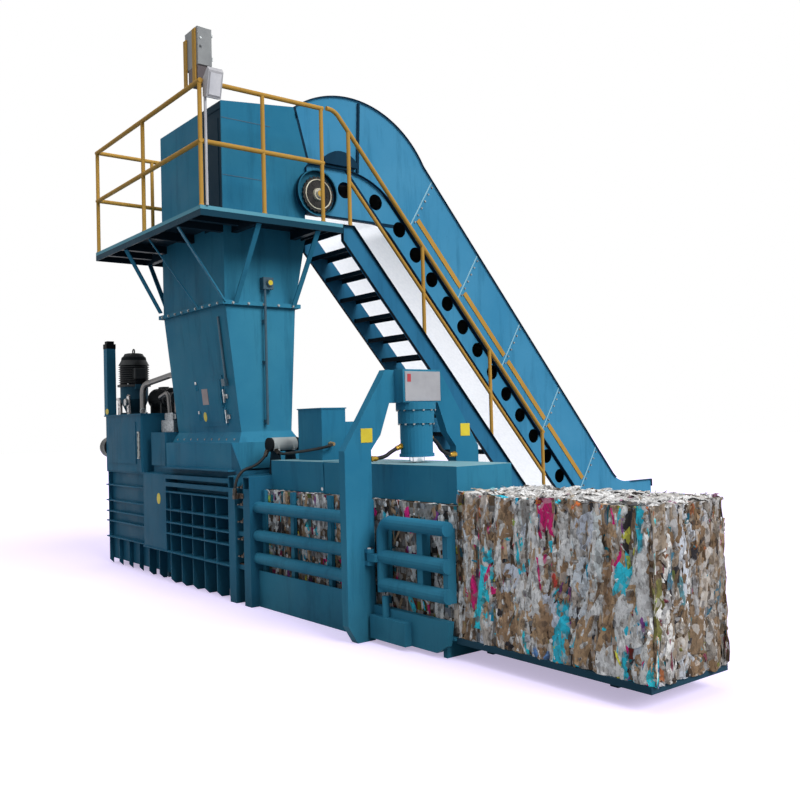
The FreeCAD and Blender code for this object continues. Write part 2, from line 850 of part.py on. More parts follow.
def throat_box():
    outer = block(throat_x0, throat_x1, -throat_half, throat_half, wall_top, throat_top)
    s = throat_skin
    inner = block(throat_x0 + s, throat_x1 - s, s - throat_half, throat_half - s,
                  wall_top - 1, throat_top - s)
    chute = block(mouth_x0 - s, mouth_x1 + s, mouth_y0 - s, mouth_y1 + s, ceiling_z + roof_plate, throat_top)
    way = block(mouth_x0, mouth_x1, mouth_y0, mouth_y1, ceiling_z, throat_top + 1)
    return joined([outer.cut(inner), chute]).cut(way)


shaft_sections = [
    (hopper_half_x + collar_out, shaft_foot[0] - collar_out, shaft_foot[1] + collar_out, throat_top),
    (hopper_half_x, shaft_foot[0], shaft_foot[1], throat_top + collar_h),
    (hopper_half_x, shaft_waist[0], shaft_waist[1], waist_z),
    (hopper_half_x, shaft_head[0], shaft_head[1], shaft_top),
]
shaft_solid = funnel(shaft_sections, 0)


def hopper_shaft():
    foot = (hopper_half_x, shaft_foot[0], shaft_foot[1])
    lining = [foot + (throat_top - 1,), foot + (throat_top + collar_h,)] + shaft_sections[2:-1]
    lining.append((hopper_half_x, shaft_head[0], shaft_head[1], shaft_top + 0.001))
    return shaft_solid.cut(funnel(lining, -sheet))


def hopper_band():
    """An angle-iron belt welded round the waist of the shaft."""
    near = shaft_waist[0]
    far = shaft_waist[1]
    half = hopper_half_x
    shelf = block(-half - band_out, half + band_out, near - band_out, far + band_out, waist_z - 8, waist_z)
    belt = block(-half - band_out, half + band_out, near - band_out, far + band_out,
                 waist_z - 40, waist_z - 8)
    room = block(8 - half - band_out, half + band_out - 8, near - band_out + 8, far + band_out - 8,
                 waist_z - 41, waist_z - 8)
    duct = block(-half, half, near, far, waist_z - 41, waist_z + 1)
    return joined([shelf, belt.cut(room)]).cut(duct)


save("throat_box", throat_box())
save("hopper_shaft", hopper_shaft())
band = hopper_band()
save("hopper_band", band)

# the near face of the shaft leans out as it rises; its fittings lean with it
lean_run = shaft_waist[0] - shaft_foot[0]
lean_rise = waist_z - throat_top - collar_h
lean_length = math.hypot(lean_run, lean_rise)
lean_up = V(0, lean_run / lean_length, lean_rise / lean_length)
lean_out = V(0, -lean_rise / lean_length, lean_run / lean_length)


def on_shaft(x, up, out):
    """A point on the near face: along it, up it from the collar, and out from it."""
    foot = V(0, shaft_foot[0], throat_top + collar_h)
    return foot + V(x, 0, 0) + lean_up * up + lean_out * out


def shaft_pad(x0, x1, up0, up1, out0, out1):
    """A flat plate that lies on the leaning face."""
    corners = [on_shaft(x, up, out0) for x, up in ((x0, up0), (x1, up0), (x1, up1), (x0, up1))]
    return Part.Face(Part.makePolygon(corners + corners[:1])).extrude(lean_out * (out1 - out0))


hatch_x = (-100, 460)
hatch_up = (60, 560)
hatch_plate = 10
hatch_pin = 6
hatch_r = 12


def hatch_hinge(up0, up1, hole):
    """One knuckle on the hatch's left edge."""
    centre = on_shaft(hatch_x[0] - hatch_r, up0, hatch_r + 1)
    knuckle = Part.makeCylinder(hatch_r, up1 - up0, centre, lean_up)
    return knuckle.cut(Part.makeCylinder(hole, up1 - up0, centre, lean_up))


def shaft_hatch():
    panel = shaft_pad(hatch_x[0], hatch_x[1], hatch_up[0], hatch_up[1], run_gap, hatch_plate)
    rib = shaft_pad(hatch_x[0] + 40, hatch_x[1] - 40, hatch_up[0] + 40, hatch_up[1] - 40,
                    hatch_plate, hatch_plate + 6)
    pieces = [panel, rib]
    for up in (130, 430):
        strap = shaft_pad(hatch_x[0] - hatch_r, hatch_x[0] + 30, up, up + 60, hatch_plate, hatch_plate + 6)
        pieces.append(strap)
    body = joined(pieces)
    for up in (130, 430):
        axis_at = on_shaft(hatch_x[0] - hatch_r, up - 1, hatch_r + 1)
        body = body.cut(Part.makeCylinder(hatch_pin + fit_gap, 62, axis_at, lean_up))
        body = body.fuse(hatch_hinge(up, up + 60, hatch_pin + fit_gap))
    handle = shaft_pad(hatch_x[1] - 36, hatch_x[1] - 20, 250, 370, hatch_plate, hatch_plate + 30)
    return joined([body, handle])


def hatch_pins():
    """Two hinge pins with the fixed eyes that hold them, above each hatch knuckle."""
    pins = []
    for up in (130, 430):
        centre = on_shaft(hatch_x[0] - hatch_r, up, hatch_r + 1)
        shank = Part.makeCylinder(hatch_pin, 90, centre, lean_up)
        eye = Part.makeCylinder(hatch_r, 28, on_shaft(hatch_x[0] - hatch_r, up + 62, hatch_r + 1), lean_up)
        leaf = shaft_pad(hatch_x[0] - 60, hatch_x[0] - hatch_r, up + 62, up + 90, 0, 5)
        web = shaft_pad(hatch_x[0] - 2 * hatch_r, hatch_x[0] - hatch_r, up + 62, up + 90, 0, hatch_r)
        pins.append(joined([shank, eye, leaf, web]))
    return pins


def hatch_latches():
    """Two toggle latches beside the hatch, clear of its edge."""
    x0 = hatch_x[1] + 5
    latches = []
    for up in (130, 330):
        base = shaft_pad(x0, x0 + 70, up, up + 40, 0, 12)
        grip = shaft_pad(x0 + 12, x0 + 28, up - 40, up + 90, 12, 30)
        latches.append(base.fuse(grip).removeSplitter())
    return latches


save("shaft_hatch", shaft_hatch())
save("hatch_fittings", *hatch_pins(), *hatch_latches())


def limit_switch():
    """Switch box and its conduit on the leaning near face."""
    box = shaft_pad(510, 570, 450, 520, 0, 45)
    low = on_shaft(545, 520, 11)
    conduit = faceted(tuple(low), tuple(low + lean_up * 600), 11, 8)
    return joined([box, conduit])


def level_sensor():
    """Bin level sensor on the end face, its conduit clipped down past the band."""
    x = hopper_half_x
    run_x = x + band_out + 12
    foot = waist_z + 125
    box = block(x, x + 72, -35, 75, foot, foot + 115)
    eye = faceted((x + 72, 30, foot + 60), (x + 95, 30, foot + 60), 32, 16)
    conduit = faceted((run_x, -10, throat_top + collar_h + 60), (run_x, -10, foot), 12, 8)
    clips = [block(x, run_x, -25, 5, z, z + 30) for z in (throat_top + collar_h + 80, 2200, 2600)]
    return joined([box, eye, conduit] + clips)


save("shaft_sensors", limit_switch(), level_sensor())


# ---------------------------------------------------------------------------
# Feed box on top of the shaft
# ---------------------------------------------------------------------------

box_near = shaft_head[0]
box_far = shaft_head[1]
door_x = (330, 690)
door_z = (3560, 4640)


def feed_box():
    profile = [(box_near, shaft_top), (box_far, shaft_top), seam_low, seam_high, box_peak, (box_near, box_top)]
    shell = plate_yz(profile, -hopper_half_x, hopper_half_x)
    far = seam_high[0] + sheet
    drop = sheet + 0.6
    room = [(box_near + sheet, shaft_top - 1), (far, shaft_top - 1), (far, box_peak[1] - drop),
            (box_peak[0], box_peak[1] - drop), (box_near + sheet, box_top - drop)]
    hollow = plate_yz(room, sheet - hopper_half_x, hopper_half_x - sheet)
    sill = block(sheet - hopper_half_x, hopper_half_x - sheet, box_far - sheet, box_far,
                 shaft_top, head_floor)
    doorway = block(door_x[0], door_x[1], box_near - 1, box_near + sheet + 1, door_z[0], door_z[1])
    inner = box_near + sheet
    panel = block(door_x[0] - 10, door_x[1] + 5, inner, inner + 8, door_z[0] - 20, door_z[1] + 20)
    boss = block(door_x[0] + 60, door_x[1] - 60, box_near + 1, inner, door_z[0] + 80, door_z[1] - 80)
    return joined([joined([shell.cut(hollow), sill]).cut(doorway), panel, boss])


save("feed_box", feed_box())


# ---------------------------------------------------------------------------
# Inclined conveyor: holed side beams, side boards with a rounded hood, belt
# ---------------------------------------------------------------------------

slope = math.radians(slope_deg)
down_y = math.cos(slope)
down_z = -math.sin(slope)
out_y = math.sin(slope)
out_z = math.cos(slope)


def incline(s, n):
    """A point in the conveyor's plane: s down the slope, n square to it."""
    return (slope_y + s * down_y + n * out_y, slope_z + s * down_z + n * out_z)


def at_height(n, z):
    """Where the line n from the beam's upper edge crosses a height."""
    return incline((z - slope_z - n * out_z) / down_z, n)


def loop(points, radii):
    """A closed outline in the conveyor's plane, with rounded bends."""
    return bent([(0, y, z) for y, z in points], radii, closed=True)


beam_outline = loop(
    [(box_far, head_floor), seam_low, seam_high, at_height(-beam_high, seam_high[1]),
     at_height(-beam_high, tail_beam_top), (tail_y, tail_beam_top), (tail_y, tail_beam_foot),
     at_height(-beam_low, tail_beam_foot), at_height(-beam_low, head_floor)],
    [0, 0, 0, crown_r, belt_r, 0, 0, throat_r, throat_r])


def beam_side():
    """One pressed side beam, its lips turned outwards; built on the +X side."""
    face = Part.Face(beam_outline)
    inner = Part.Face(beam_outline.makeOffset2D(-beam_web))
    x0 = hopper_half_x - sheet
    web = face.extrude(V(beam_web, 0, 0))
    lip = face.cut(inner).extrude(V(beam_lip, 0, 0))
    beam = web.fuse(lip)
    middle = (beam_low + beam_high) / 2 - 40
    centres = [incline(hole_first_s + k * hole_pitch, -middle) for k in range(hole_count)]
    for y, z in list(head_holes) + centres:
        beam = beam.cut(faceted((-1, y, z), (beam_web + 1, y, z), beam_hole, 18))
    for y, z in ((head_y, head_z), (tail_wheel_y, tail_wheel_z)):
        beam = beam.cut(faceted((-1, y, z), (beam_web + 1, y, z), shaft_r + 15, 16))
    beam.translate(V(x0, 0, 0))
    foot = block(x0, x0 + beam_lip, tail_wheel_y - 900, tail_y - 60, 0, tail_beam_foot)
    return joined([beam, foot])


def flip_x(shape):
    return shape.mirror(V(0, 0, 0), V(1, 0, 0))


beam_near = beam_side()
save("conveyor_beam_front", beam_near)
save("conveyor_beam_rear", flip_x(beam_near))


def board_rim():
    """Outline of a side board: the arch over the head, then down to the tail."""
    arch_end = incline(arch_end_s, board_depth)
    arch = Part.Arc(V(0, *box_peak), V(0, *arch_top), V(0, *arch_end)).toShape()
    lower = [arch_end, at_height(board_depth, tail_board_top), (tail_y, tail_board_top),
             (tail_y, tail_beam_top), at_height(-beam_high, tail_beam_top), at_height(-beam_high, seam_high[1]), seam_high, box_peak]
    rest = bent([(0, y, z) for y, z in lower], [belt_r, 0, 0, belt_r, crown_r, 0])
    return Part.Wire([arch] + rest.Edges)


def side_board():
    """One board with its turned-out top edge, joint flange and seam bars; on the +X side."""
    rim = board_rim()
    face = Part.Face(rim)
    border = face.cut(Part.Face(rim.makeOffset2D(-sheet)))
    board = face.extrude(V(sheet, 0, 0))
    lip = border.extrude(V(board_lip, 0, 0))
    upper = [(box_peak[0] + 20, 4700), incline(-400, 250), incline(4200, 250), (tail_y + 1, 640),
             (tail_y + 1, 900), incline(4200, 700), incline(-400, 900), (box_peak[0] + 20, 5200)]
    pieces = [board, lip.common(plate_yz(upper, -1, board_lip + 1))]
    flange = [(1172, 4985), (1200, 4985), (1166, 4240), (1138, 4240)]
    pieces.append(plate_yz(flange, sheet, board_lip))
    for k in range(5):
        s = joint_first_s + k * joint_pitch
        seam = [incline(s - 8, board_depth - 12), incline(s + 8, board_depth - 12),
                incline(s + strip_start + 8, -beam_high + 12), incline(s + strip_start - 8, -beam_high + 12)]
        pieces.append(plate_yz(seam, sheet, sheet + 4))
    side = joined(pieces)
    side.translate(V(hopper_half_x - sheet, 0, 0))
    return side


def hood_roof():
    """The curved sheet over the head, between the two boards."""
    rim = board_rim()
    half = hopper_half_x - sheet
    border = Part.Face(rim).cut(Part.Face(rim.makeOffset2D(-sheet)))
    sheet_solid = border.extrude(V(2 * half, 0, 0))
    sheet_solid.translate(V(-half, 0, 0))
    end = incline(arch_end_s, board_depth)
    start = box_peak[0] + 1
    crest = arch_top[1] + 40
    covered = plate_yz([(start, box_peak[1] - 60), (end[0], end[1] - 60), (end[0], crest), (start, crest)],
                       -half, half)
    crown = [part for part in sheet_solid.common(covered).Solids if part.BoundBox.ZMax > arch_top[1] - 20]
    return crown[0]


near_board = side_board()
save("side_boards", joined([near_board, flip_x(near_board), hood_roof()]))


def belly_pan():
    """The bent sheet that closes the underside, from the feed box down to the tail."""
    half = hopper_half_x - sheet

    def line(lift, radii):
        base = head_floor + lift
        foot = tail_beam_foot + lift
        low = lift - beam_low
        points = [(box_far, base), at_height(low, base), at_height(low, foot), (tail_y - 60, foot)]
        return bent([(-half, y, z) for y, z in points], radii)

    outer = line(0, [throat_r, throat_r])
    inner = line(sheet, [throat_r - sheet, throat_r + sheet])
    ends = [Part.LineSegment(outer.Vertexes[k].Point, inner.Vertexes[k].Point).toShape() for k in (0, -1)]
    rim = Part.Wire(Part.__sortEdges__(outer.Edges + inner.Edges + ends))
    return Part.Face(rim).extrude(V(2 * half, 0, 0))


save("belly_pan", belly_pan())


def belt_path(offset):
    """The belt's closed path round both drums, moved outwards by offset."""
    up = belt_up - offset
    down = belt_down + offset
    head_r = head_wheel + offset
    tail_r = tail_wheel + offset
    head_up = (head_y, head_z + head_r)
    head_down = (head_y, head_z - head_r)
    tail_up = (tail_wheel_y, tail_wheel_z + tail_r)
    tail_down = (tail_wheel_y, tail_wheel_z - tail_r)
    above = (head_up, at_height(-up, head_up[1]), at_height(-up, tail_up[1]), tail_up)
    below = (tail_down, at_height(-down, tail_down[1]), at_height(-down, head_down[1]), head_down)
    radii = [belt_r + offset, belt_r - offset]
    upper = bent([(0, y, z) for y, z in above], radii)
    lower = bent([(0, y, z) for y, z in below], radii)
    tail_turn = Part.Arc(V(0, *tail_up), V(0, tail_wheel_y + tail_r, tail_wheel_z), V(0, *tail_down)).toShape()
    head_turn = Part.Arc(V(0, *head_down), V(0, head_y - head_r, head_z), V(0, *head_up)).toShape()
    return Part.Wire(upper.Edges + [tail_turn] + lower.Edges + [head_turn])


def cleated_belt():
    """The endless band, then the straight cleats fixed on it above and below."""
    outer = Part.Face(belt_path(belt_plate / 2))
    inner = Part.Face(belt_path(-belt_plate / 2))
    band_solid = outer.cut(inner).extrude(V(2 * belt_half, 0, 0))
    band_solid.translate(V(-belt_half, 0, 0))
    cleats = []
    top_s = (slope_z - head_z) / out_y
    for k in range(13):
        s = top_s + 500 + k * cleat_pitch
        for n0, n1 in ((belt_plate / 2 - belt_up, cleat_h - belt_up),
                       (8 - belt_down - cleat_h, -belt_down - belt_plate / 2)):
            corners = [incline(s - 6, n0), incline(s + 6, n0), incline(s + 6, n1), incline(s - 6, n1)]
            cleats.append(plate_yz(corners, 40 - belt_half, belt_half - 40))
    return [band_solid] + cleats


save("cleated_belt", *cleated_belt())


def cross_shaft(y, z, wheel, reach):
    """A shaft with a closed drum between the belt edges."""
    drum_r = wheel - belt_plate / 2 - run_gap
    shaft = rod((-reach, y, z), (reach, y, z), shaft_r)
    return joined([shaft, rod((10 - belt_half, y, z), (belt_half - 10, y, z), drum_r)])


bearing_x = hopper_half_x - sheet + beam_web
head_reach = bearing_x + 110
tail_reach = bearing_x + 50
save("head_shaft", cross_shaft(head_y, head_z, head_wheel, head_reach))
save("tail_shaft", cross_shaft(tail_wheel_y, tail_wheel_z, tail_wheel, tail_reach))


def flange_bearing(side, y, z, half, thick):
    """A square-flanged bearing block bolted to the beam."""
    x0 = side * bearing_x
    x1 = side * (bearing_x + thick)
    x2 = side * (bearing_x + thick + 18)
    lo, hi = sorted((x0, x1))
    plate = block(lo, hi, y - half, y + half, z - half, z + half)
    boss = faceted((x1, y, z), (x2, y, z), shaft_r + 22, 20)
    hole = rod((side * (bearing_x - 1), y, z), (side * (bearing_x + thick + 19), y, z), shaft_r + fit_gap)
    return joined([plate, boss]).cut(hole)


bearings = [flange_bearing(side, head_y, head_z, 80, 22) for side in (-1, 1)]
bearings += [flange_bearing(side, tail_wheel_y, tail_wheel_z, 62, 18) for side in (-1, 1)]
save("conveyor_bearings", *bearings)


def drive_guard():
    """Round chain guard in front of the head bearing, open in the middle."""
    x0 = hopper_half_x - sheet + beam_lip
    y = head_y - 20
    z = head_z + 10
    drum = faceted((x0, y, z), (x0 + 60, y, z), 235, 40)
    room = faceted((x0 + 6, y, z), (x0 + 61, y, z), 223, 40)
    eye = faceted((x0 - 1, head_y, head_z), (x0 + 7, head_y, head_z), 115, 32)
    return drum.cut(room).cut(eye)


save("drive_guard", drive_guard())


def head_cover():
    """Rounded shield over the head of the beam, on the side board."""
    y0, y1 = 715, 1125
    base = seam_high[1] + 25
    low = V(0, y0, base + 45)
    high = V(0, y1, base + 45)
    arch = Part.Arc(high, V(0, (y0 + y1) / 2, base + 150), low).toShape()
    sides = Part.makePolygon([low, V(0, y0, base), V(0, y1, base), high])
    shield = Part.Face(Part.Wire(sides.Edges + [arch])).extrude(V(60, 0, 0))
    shield.translate(V(hopper_half_x, 0, 0))
    return shield


save("head_cover", head_cover())


def gearmotor():
    """Shaft-mounted gearbox and motor on the far end of the head shaft."""
    x0 = -bearing_x - 44
    motor_x = x0 - 96
    case = block(x0 - 150, x0, head_y - 110, head_y + 150, head_z - 120, head_z + 120)
    hole = rod((x0 - 151, head_y, head_z), (x0 + 1, head_y, head_z), shaft_r + fit_gap)
    motor = faceted((motor_x, head_y + 150, head_z), (motor_x, head_y + 480, head_z), 84, 24)
    link = block(x0, -hopper_half_x + sheet - beam_web, head_y + 110, head_y + 140, head_z - 60, head_z - 20)
    return joined([case.cut(hole), motor, link])


save("drive_gearmotor", gearmotor())


def guard_strips():
    """Kick strips on the boards, one below each seam."""
    strips = []
    x0 = hopper_half_x
    for k in range(4):
        s = joint_first_s + k * joint_pitch + strip_start
        corners = [incline(s, -15), incline(s + strip_length, -15), incline(s + strip_length, 42), incline(s, 42)]
        strips.append(plate_yz(corners, x0, x0 + 8))
    return strips


save("guard_strips", *guard_strips())


# ---------------------------------------------------------------------------
# Work platform round the feed box
# ---------------------------------------------------------------------------

def platform_deck():
    z0 = deck_z - deck_plate
    low = deck_z - fascia_h
    hole = block(-hopper_half_x, hopper_half_x, box_near, deck_y1 + 1, low - 1, deck_z + 1)
    slab = block(deck_x0, deck_x1, deck_y0, deck_y1, z0, deck_z)
    skirt = block(deck_x0, deck_x1, deck_y0, deck_y1, low, z0)
    room = block(deck_x0 + 10, deck_x1 - 10, deck_y0 + 10, deck_y1 - 10, low - 1, z0)
    joists = [block(x - 30, x + 30, deck_y0 + 10, box_near, low, z0)
              for x in (-1000, -620, 50, 675, 1000)]
    joists += [block(hopper_half_x, deck_x1 - 10, y - 30, y + 30, low, z0) for y in (-300, 350)]
    joists += [block(deck_x0 + 10, -hopper_half_x, y - 30, y + 30, low, z0) for y in (-300, 350)]
    landing = block(stair_x0, deck_x1, box_far, landing_y, z0, deck_z)
    step = block(hopper_half_x, deck_x1, deck_y1, box_far, z0, deck_z)
    apron = block(stair_x0, deck_x1, landing_y - 10, landing_y, low, z0)
    flank = block(deck_x1 - 10, deck_x1, deck_y1, landing_y, low, z0)
    deck = joined([slab, skirt.cut(room)] + joists).cut(hole)
    return joined([deck, landing, step, apron, flank])


save("platform_deck", platform_deck())


def brackets():
    """Raking struts from the band round the shaft to the edge of the deck."""
    low = deck_z - fascia_h
    near = shaft_waist[0] - 40
    half = hopper_half_x + 40
    z0 = waist_z - 20
    runs = [((x, near, z), (top_x, deck_y0 + 45, low))
            for x, z, top_x in ((-735, z0 + 90, -600), (200, z0 + 10, 0), (735, z0 + 40, 670))]
    runs += [((half, y, z0), (deck_x1 - 45, y + 20, low)) for y in (-320, 320)]
    runs += [((-half, y, z0), (deck_x0 + 45, y + 20, low)) for y in (-320, 320)]
    struts = []
    for start, end in runs:
        reach = V(*end) - V(*start)
        a = V(*start) - reach * 0.06
        b = V(*end) + reach * 0.06
        strut = bar(tuple(a), tuple(b), 50, 12)
        keep = block(deck_x0, deck_x1, deck_y0, 500, z0 - 60, low)
        trimmed = strut.common(keep).cut(band).cut(shaft_solid)
        struts.append(sorted(trimmed.Solids, key=lambda s: -s.Volume)[0])
    return struts


save("platform_struts", *brackets())

rail_x0 = deck_x0 + rail_inset
rail_x1 = deck_x1 - rail_inset
rail_y0 = deck_y0 + rail_inset
rail_y1 = deck_y1 - 60
# control cabinet on the corner of the railing
cab_x = (940, rail_x1 - rail_r - 1)
cab_y = (rail_y0 - 1, rail_y0 + 132)
cab_high = 330
cab_z = (rail_top + 155, rail_top + 155 + cab_high)
cab_skin = 3
cab_depth = 12
cab_bars = (952, 1130)       # flat bars that carry the cabinet on the near rail
bar_wide = 58


def post(x, y, top):
    """An upright tube, a size down from the rails it carries."""
    return faceted((x, y, deck_z), (x, y, top), post_r, pipe_flats)


def rail_near():
    """Near side railing, with two flat bars for the cabinet."""
    pieces = [post(rail_x0, rail_y0, rail_top), post(-70, rail_y0, rail_top), post(rail_x1, rail_y0, rail_top)]
    for z in (rail_top, rail_mid):
        pieces.append(faceted((rail_x0 - rail_r, rail_y0, z), (rail_x1 + rail_r, rail_y0, z), rail_r, pipe_flats))
    for x, top in ((cab_bars[0], cab_z[1] - 50), (cab_bars[1], cab_z[1])):
        pieces.append(block(x - bar_wide / 2, x + bar_wide / 2, cab_y[0] - 12, cab_y[0], rail_top, top))
    return joined(pieces)


def rail_end(x, near):
    """Railing across one end of the deck, butted to the near one."""
    pieces = [post(x, -250, rail_top), post(x, rail_y1, rail_top)]
    for z in (rail_top, rail_mid):
        pieces.append(faceted((x, rail_y0, z), (x, rail_y1 + rail_r, z), rail_r, pipe_flats))
    return joined(pieces).cut(near)


near_rail = rail_near()
front_rail = rail_end(rail_x1, near_rail)
save("rail_near", near_rail)
save("rail_ends", front_rail, rail_end(rail_x0, near_rail))

def cabinet():
    body = block(cab_x[0], cab_x[1], cab_y[0], cab_y[1], cab_z[0], cab_z[1])
    room = block(cab_x[0] + cab_skin, cab_x[1] + 1, cab_y[0] + cab_skin, cab_y[1] - cab_skin,
                 cab_z[0] + cab_skin, cab_z[1] - cab_skin)
    hood = plate_yz([(cab_y[0], cab_z[1]), (cab_y[1] + 5, cab_z[1]), (cab_y[1] + 5, cab_z[1] + 4),
                     (cab_y[0], cab_z[1] + 10)], cab_x[0] - 4, cab_x[1])
    shelf = block(cab_x[0] + cab_skin, cab_x[0] + 30, cab_y[0] + 30, cab_y[1] - 30, cab_z[0] + 60, cab_z[1] - 60)
    bracket = block(cab_x[0] + 60, cab_x[1], cab_y[0], cab_y[1] - 40, rail_top, cab_z[0])
    return joined([body.cut(room), hood, shelf, bracket.cut(near_rail)])


cab_hinge_y = cab_y[1]
cab_hinge_x = cab_x[1] + cab_depth


def cabinet_door():
    panel = block(cab_x[1] + run_gap, cab_hinge_x, cab_y[0], cab_hinge_y, cab_z[0], cab_z[1])
    middle = (cab_z[0] + cab_z[1]) / 2
    knob = faceted((cab_hinge_x, cab_y[0] + 25, middle), (cab_hinge_x + 18, cab_y[0] + 25, middle), 10, 12)
    return joined([panel, knob])


save("control_cabinet", cabinet())
save("cabinet_door", cabinet_door())


def floodlight():
    """A hooded lamp hung on the outside of the front rail, tipped down."""
    x0 = rail_x1 + rail_r
    y0 = rail_y0 + 25
    z0 = rail_top - 160
    low = V(x0 + 60, 0, z0)
    high = V(x0 + 120, 0, z0 + 220)
    face = (high - low).normalize()
    ahead = V(face.z, 0, -face.x)
    body = plate_xz([(x0 - 8, z0 + 175), (x0 + 95, z0 + 255), (high.x, high.z), (low.x, low.z), (x0 - 8, z0 + 20)],
                    y0, y0 + 140)
    corners = [low + face * 15 - ahead, high - face * 15 - ahead, high - face * 15 + ahead * 5,
               low + face * 15 + ahead * 5]
    lens = plate_xz([(p.x, p.z) for p in corners], y0 + 12, y0 + 128)
    conduit = faceted((x0 + 12, y0 + 12, deck_z), (x0 + 12, y0 + 12, z0 + 50), 12, 8)
    return joined([body, lens, conduit]).cut(front_rail)


save("floodlight", floodlight())


# ---------------------------------------------------------------------------
# Stairs down beside the conveyor
# ---------------------------------------------------------------------------

stair_y = 720
stair_z = 3560


def stringer_z(y):
    """Height of the stringer's upper edge."""
    return stair_z - stair_slope * (y - stair_y)


stair_top_y = stair_y + (stair_z - deck_z) / stair_slope
stair_foot_y = stair_y + stair_z / stair_slope
stringer_outline = [
    (landing_y, deck_z), (stair_top_y, deck_z), (stair_foot_y, 0),
    (stair_foot_y - stringer_drop / stair_slope, 0),
    (landing_y, stringer_z(landing_y) - stringer_drop)]


def stringers():
    """Channel stringers, lips outwards."""
    rim = Part.makePolygon([V(0, y, z) for y, z in stringer_outline + stringer_outline[:1]])
    face = Part.Face(rim)
    web = face.extrude(V(stringer_web, 0, 0))
    lip = face.cut(Part.Face(rim.makeOffset2D(-stringer_web))).extrude(V(stringer_lip, 0, 0))
    channel = web.fuse(lip)
    near = channel.copy()
    near.translate(V(stair_x1 - stringer_lip, 0, 0))
    far = flip_x(channel)
    far.translate(V(stair_x0 + stringer_lip, 0, 0))
    return [near, far]


def treads():
    """Folded treads between the stringers' webs."""
    steps = []
    x0 = stair_x0 + stringer_lip
    x1 = stair_x1 - stringer_lip
    for k in range(1, int(deck_z / stair_rise)):
        z = deck_z - k * stair_rise
        y = stair_y + (stair_z - stringer_drop / 2 - z) / stair_slope
        y0 = y - tread_depth / 2
        y1 = y + tread_depth / 2
        folds = [block(x0, x1, edge, edge + tread_plate, z - tread_lip, z - tread_plate)
                 for edge in (y0, y1 - tread_plate)]
        steps.append(joined([block(x0, x1, y0, y1, z - tread_plate, z)] + folds))
    return steps


save("stair_flight", *stringers())
save("stair_treads", *treads())


def stair_rail():
    """Handrail with a rounded head, knee rail and four posts on the front stringer."""
    x = stair_x1 - stringer_lip / 2
    slope_h = 1.143
    head = 4470

    def line(y, z0):
        return z0 - slope_h * (y - 700)

    end_y = 3350
    knee = 3980
    bend_y = 700 - (rail_top + 10 - head) / slope_h
    top = hose([(x, rail_y1 + 60, rail_top + 10), (x, bend_y, rail_top + 10), (x, end_y, line(end_y, head))],
               rail_r, [150], pipe_flats)
    mid = faceted((x, 700, line(700, knee)), (x, end_y, line(end_y, knee)), post_r - 1, pipe_flats)
    pieces = [top, mid]
    for y in (700, 1610, 2530, end_y - post_r):
        pieces.append(faceted((x, y, stringer_z(y + post_r) - 20), (x, y, line(y, head)), post_r, pipe_flats))
    return joined(pieces)


under_rail = plate_yz(stringer_outline, stair_x1 - stringer_lip - post_r, stair_x1 + post_r)
save("stair_rail", stair_rail().cut(under_rail))


# ---------------------------------------------------------------------------
# Hydraulic power pack on the rear frame
# ---------------------------------------------------------------------------

tank_half = rear_half + wall_plate + rear_rib_depth + 10


def oil_tank():
    body = block(rear_x, tank_front_x, -tank_half, tank_half, rear_top_z, tank_top_z)
    body = body.makeFillet(25, [e for e in body.Edges if abs(e.Vertexes[0].Z - e.Vertexes[1].Z) > 100])
    cover = block(rear_x + 120, tank_front_x - 160, -tank_half - 8, -tank_half, rear_top_z + 90, tank_top_z - 80)
    lid = block(rear_x - 10, tank_front_x + 10, -tank_half - 13, tank_half + 13, tank_top_z, tank_top_z + tank_lid)
    return joined([body, cover, lid])


lid_z = tank_top_z + tank_lid
stand_z = 1560


def pump_unit(x, y):
    """Upright motor over its bell housing."""
    levels = ((0, 150), (25, 150), (25.5, 95), (150, 150), (180, 160), (560, 160), (680, 140), (730, 85))
    shell = skinned([flats_round(V(x, y, lid_z + z), V(0, 0, 1), r, 28) for z, r in levels])
    terminal = block(x + 115, x + 205, y - 60, y + 60, lid_z + 300, lid_z + 420)
    return joined([shell, terminal])


def side_pump():
    """Lying motor and pump on two feet."""
    y = -60
    z = lid_z + 170
    body = faceted((-1760, y, z), (-1330, y, z), 115, 28)
    pump = faceted((-1330, y, z), (-1200, y, z), 70, 20)
    port = faceted((-1262, y - 10, z), (-1262, y - 110, z), 30, 12)
    feet = [block(x, x + 40, y - 110, y + 110, lid_z, z - 40) for x in (-1700, -1420)]
    return joined([body, pump, port] + feet)


def valve_stand():
    front = -hopper_half_x - collar_out
    base = block(chamber_x, front, -400, 300, wall_top, stand_z)
    return base.makeFillet(15, [e for e in base.Edges if abs(e.Vertexes[0].Z - e.Vertexes[1].Z) > 100])


def valve_manifold():
    """Drilled block with a row of solenoid valves on top."""
    x0 = chamber_x + 60
    core = block(x0, x0 + 320, -300, 100, stand_z, stand_z + 130)
    pieces = [core]
    for k in range(3):
        y = -240 + 140 * k
        pieces.append(block(x0 + 60, x0 + 260, y - 40, y + 40, stand_z + 130, stand_z + 210))
        pieces.append(block(x0 + 10, x0 + 310, y - 26, y + 26, stand_z + 144, stand_z + 196))
    return joined(pieces)


pump = pump_unit(-2040, -225)
lying_pump = side_pump()
manifold = valve_manifold()
tank = oil_tank()
stand = valve_stand()
save("oil_tank", tank)
save("pump_motor", pump)
save("side_pump", lying_pump)
save("valve_stand", stand)
save("valve_manifold", manifold)


def pressure_pipe():
    """Bent steel pipe from the lying pump to the valve block."""
    z = lid_z + 170
    points = [(-1262, -170, z), (-1262, -250, z), (-1010, -250, z + 60), (-960, -250, stand_z + 130)]
    return hose(points, 20, [45, 60], pipe_flats).cut(manifold)


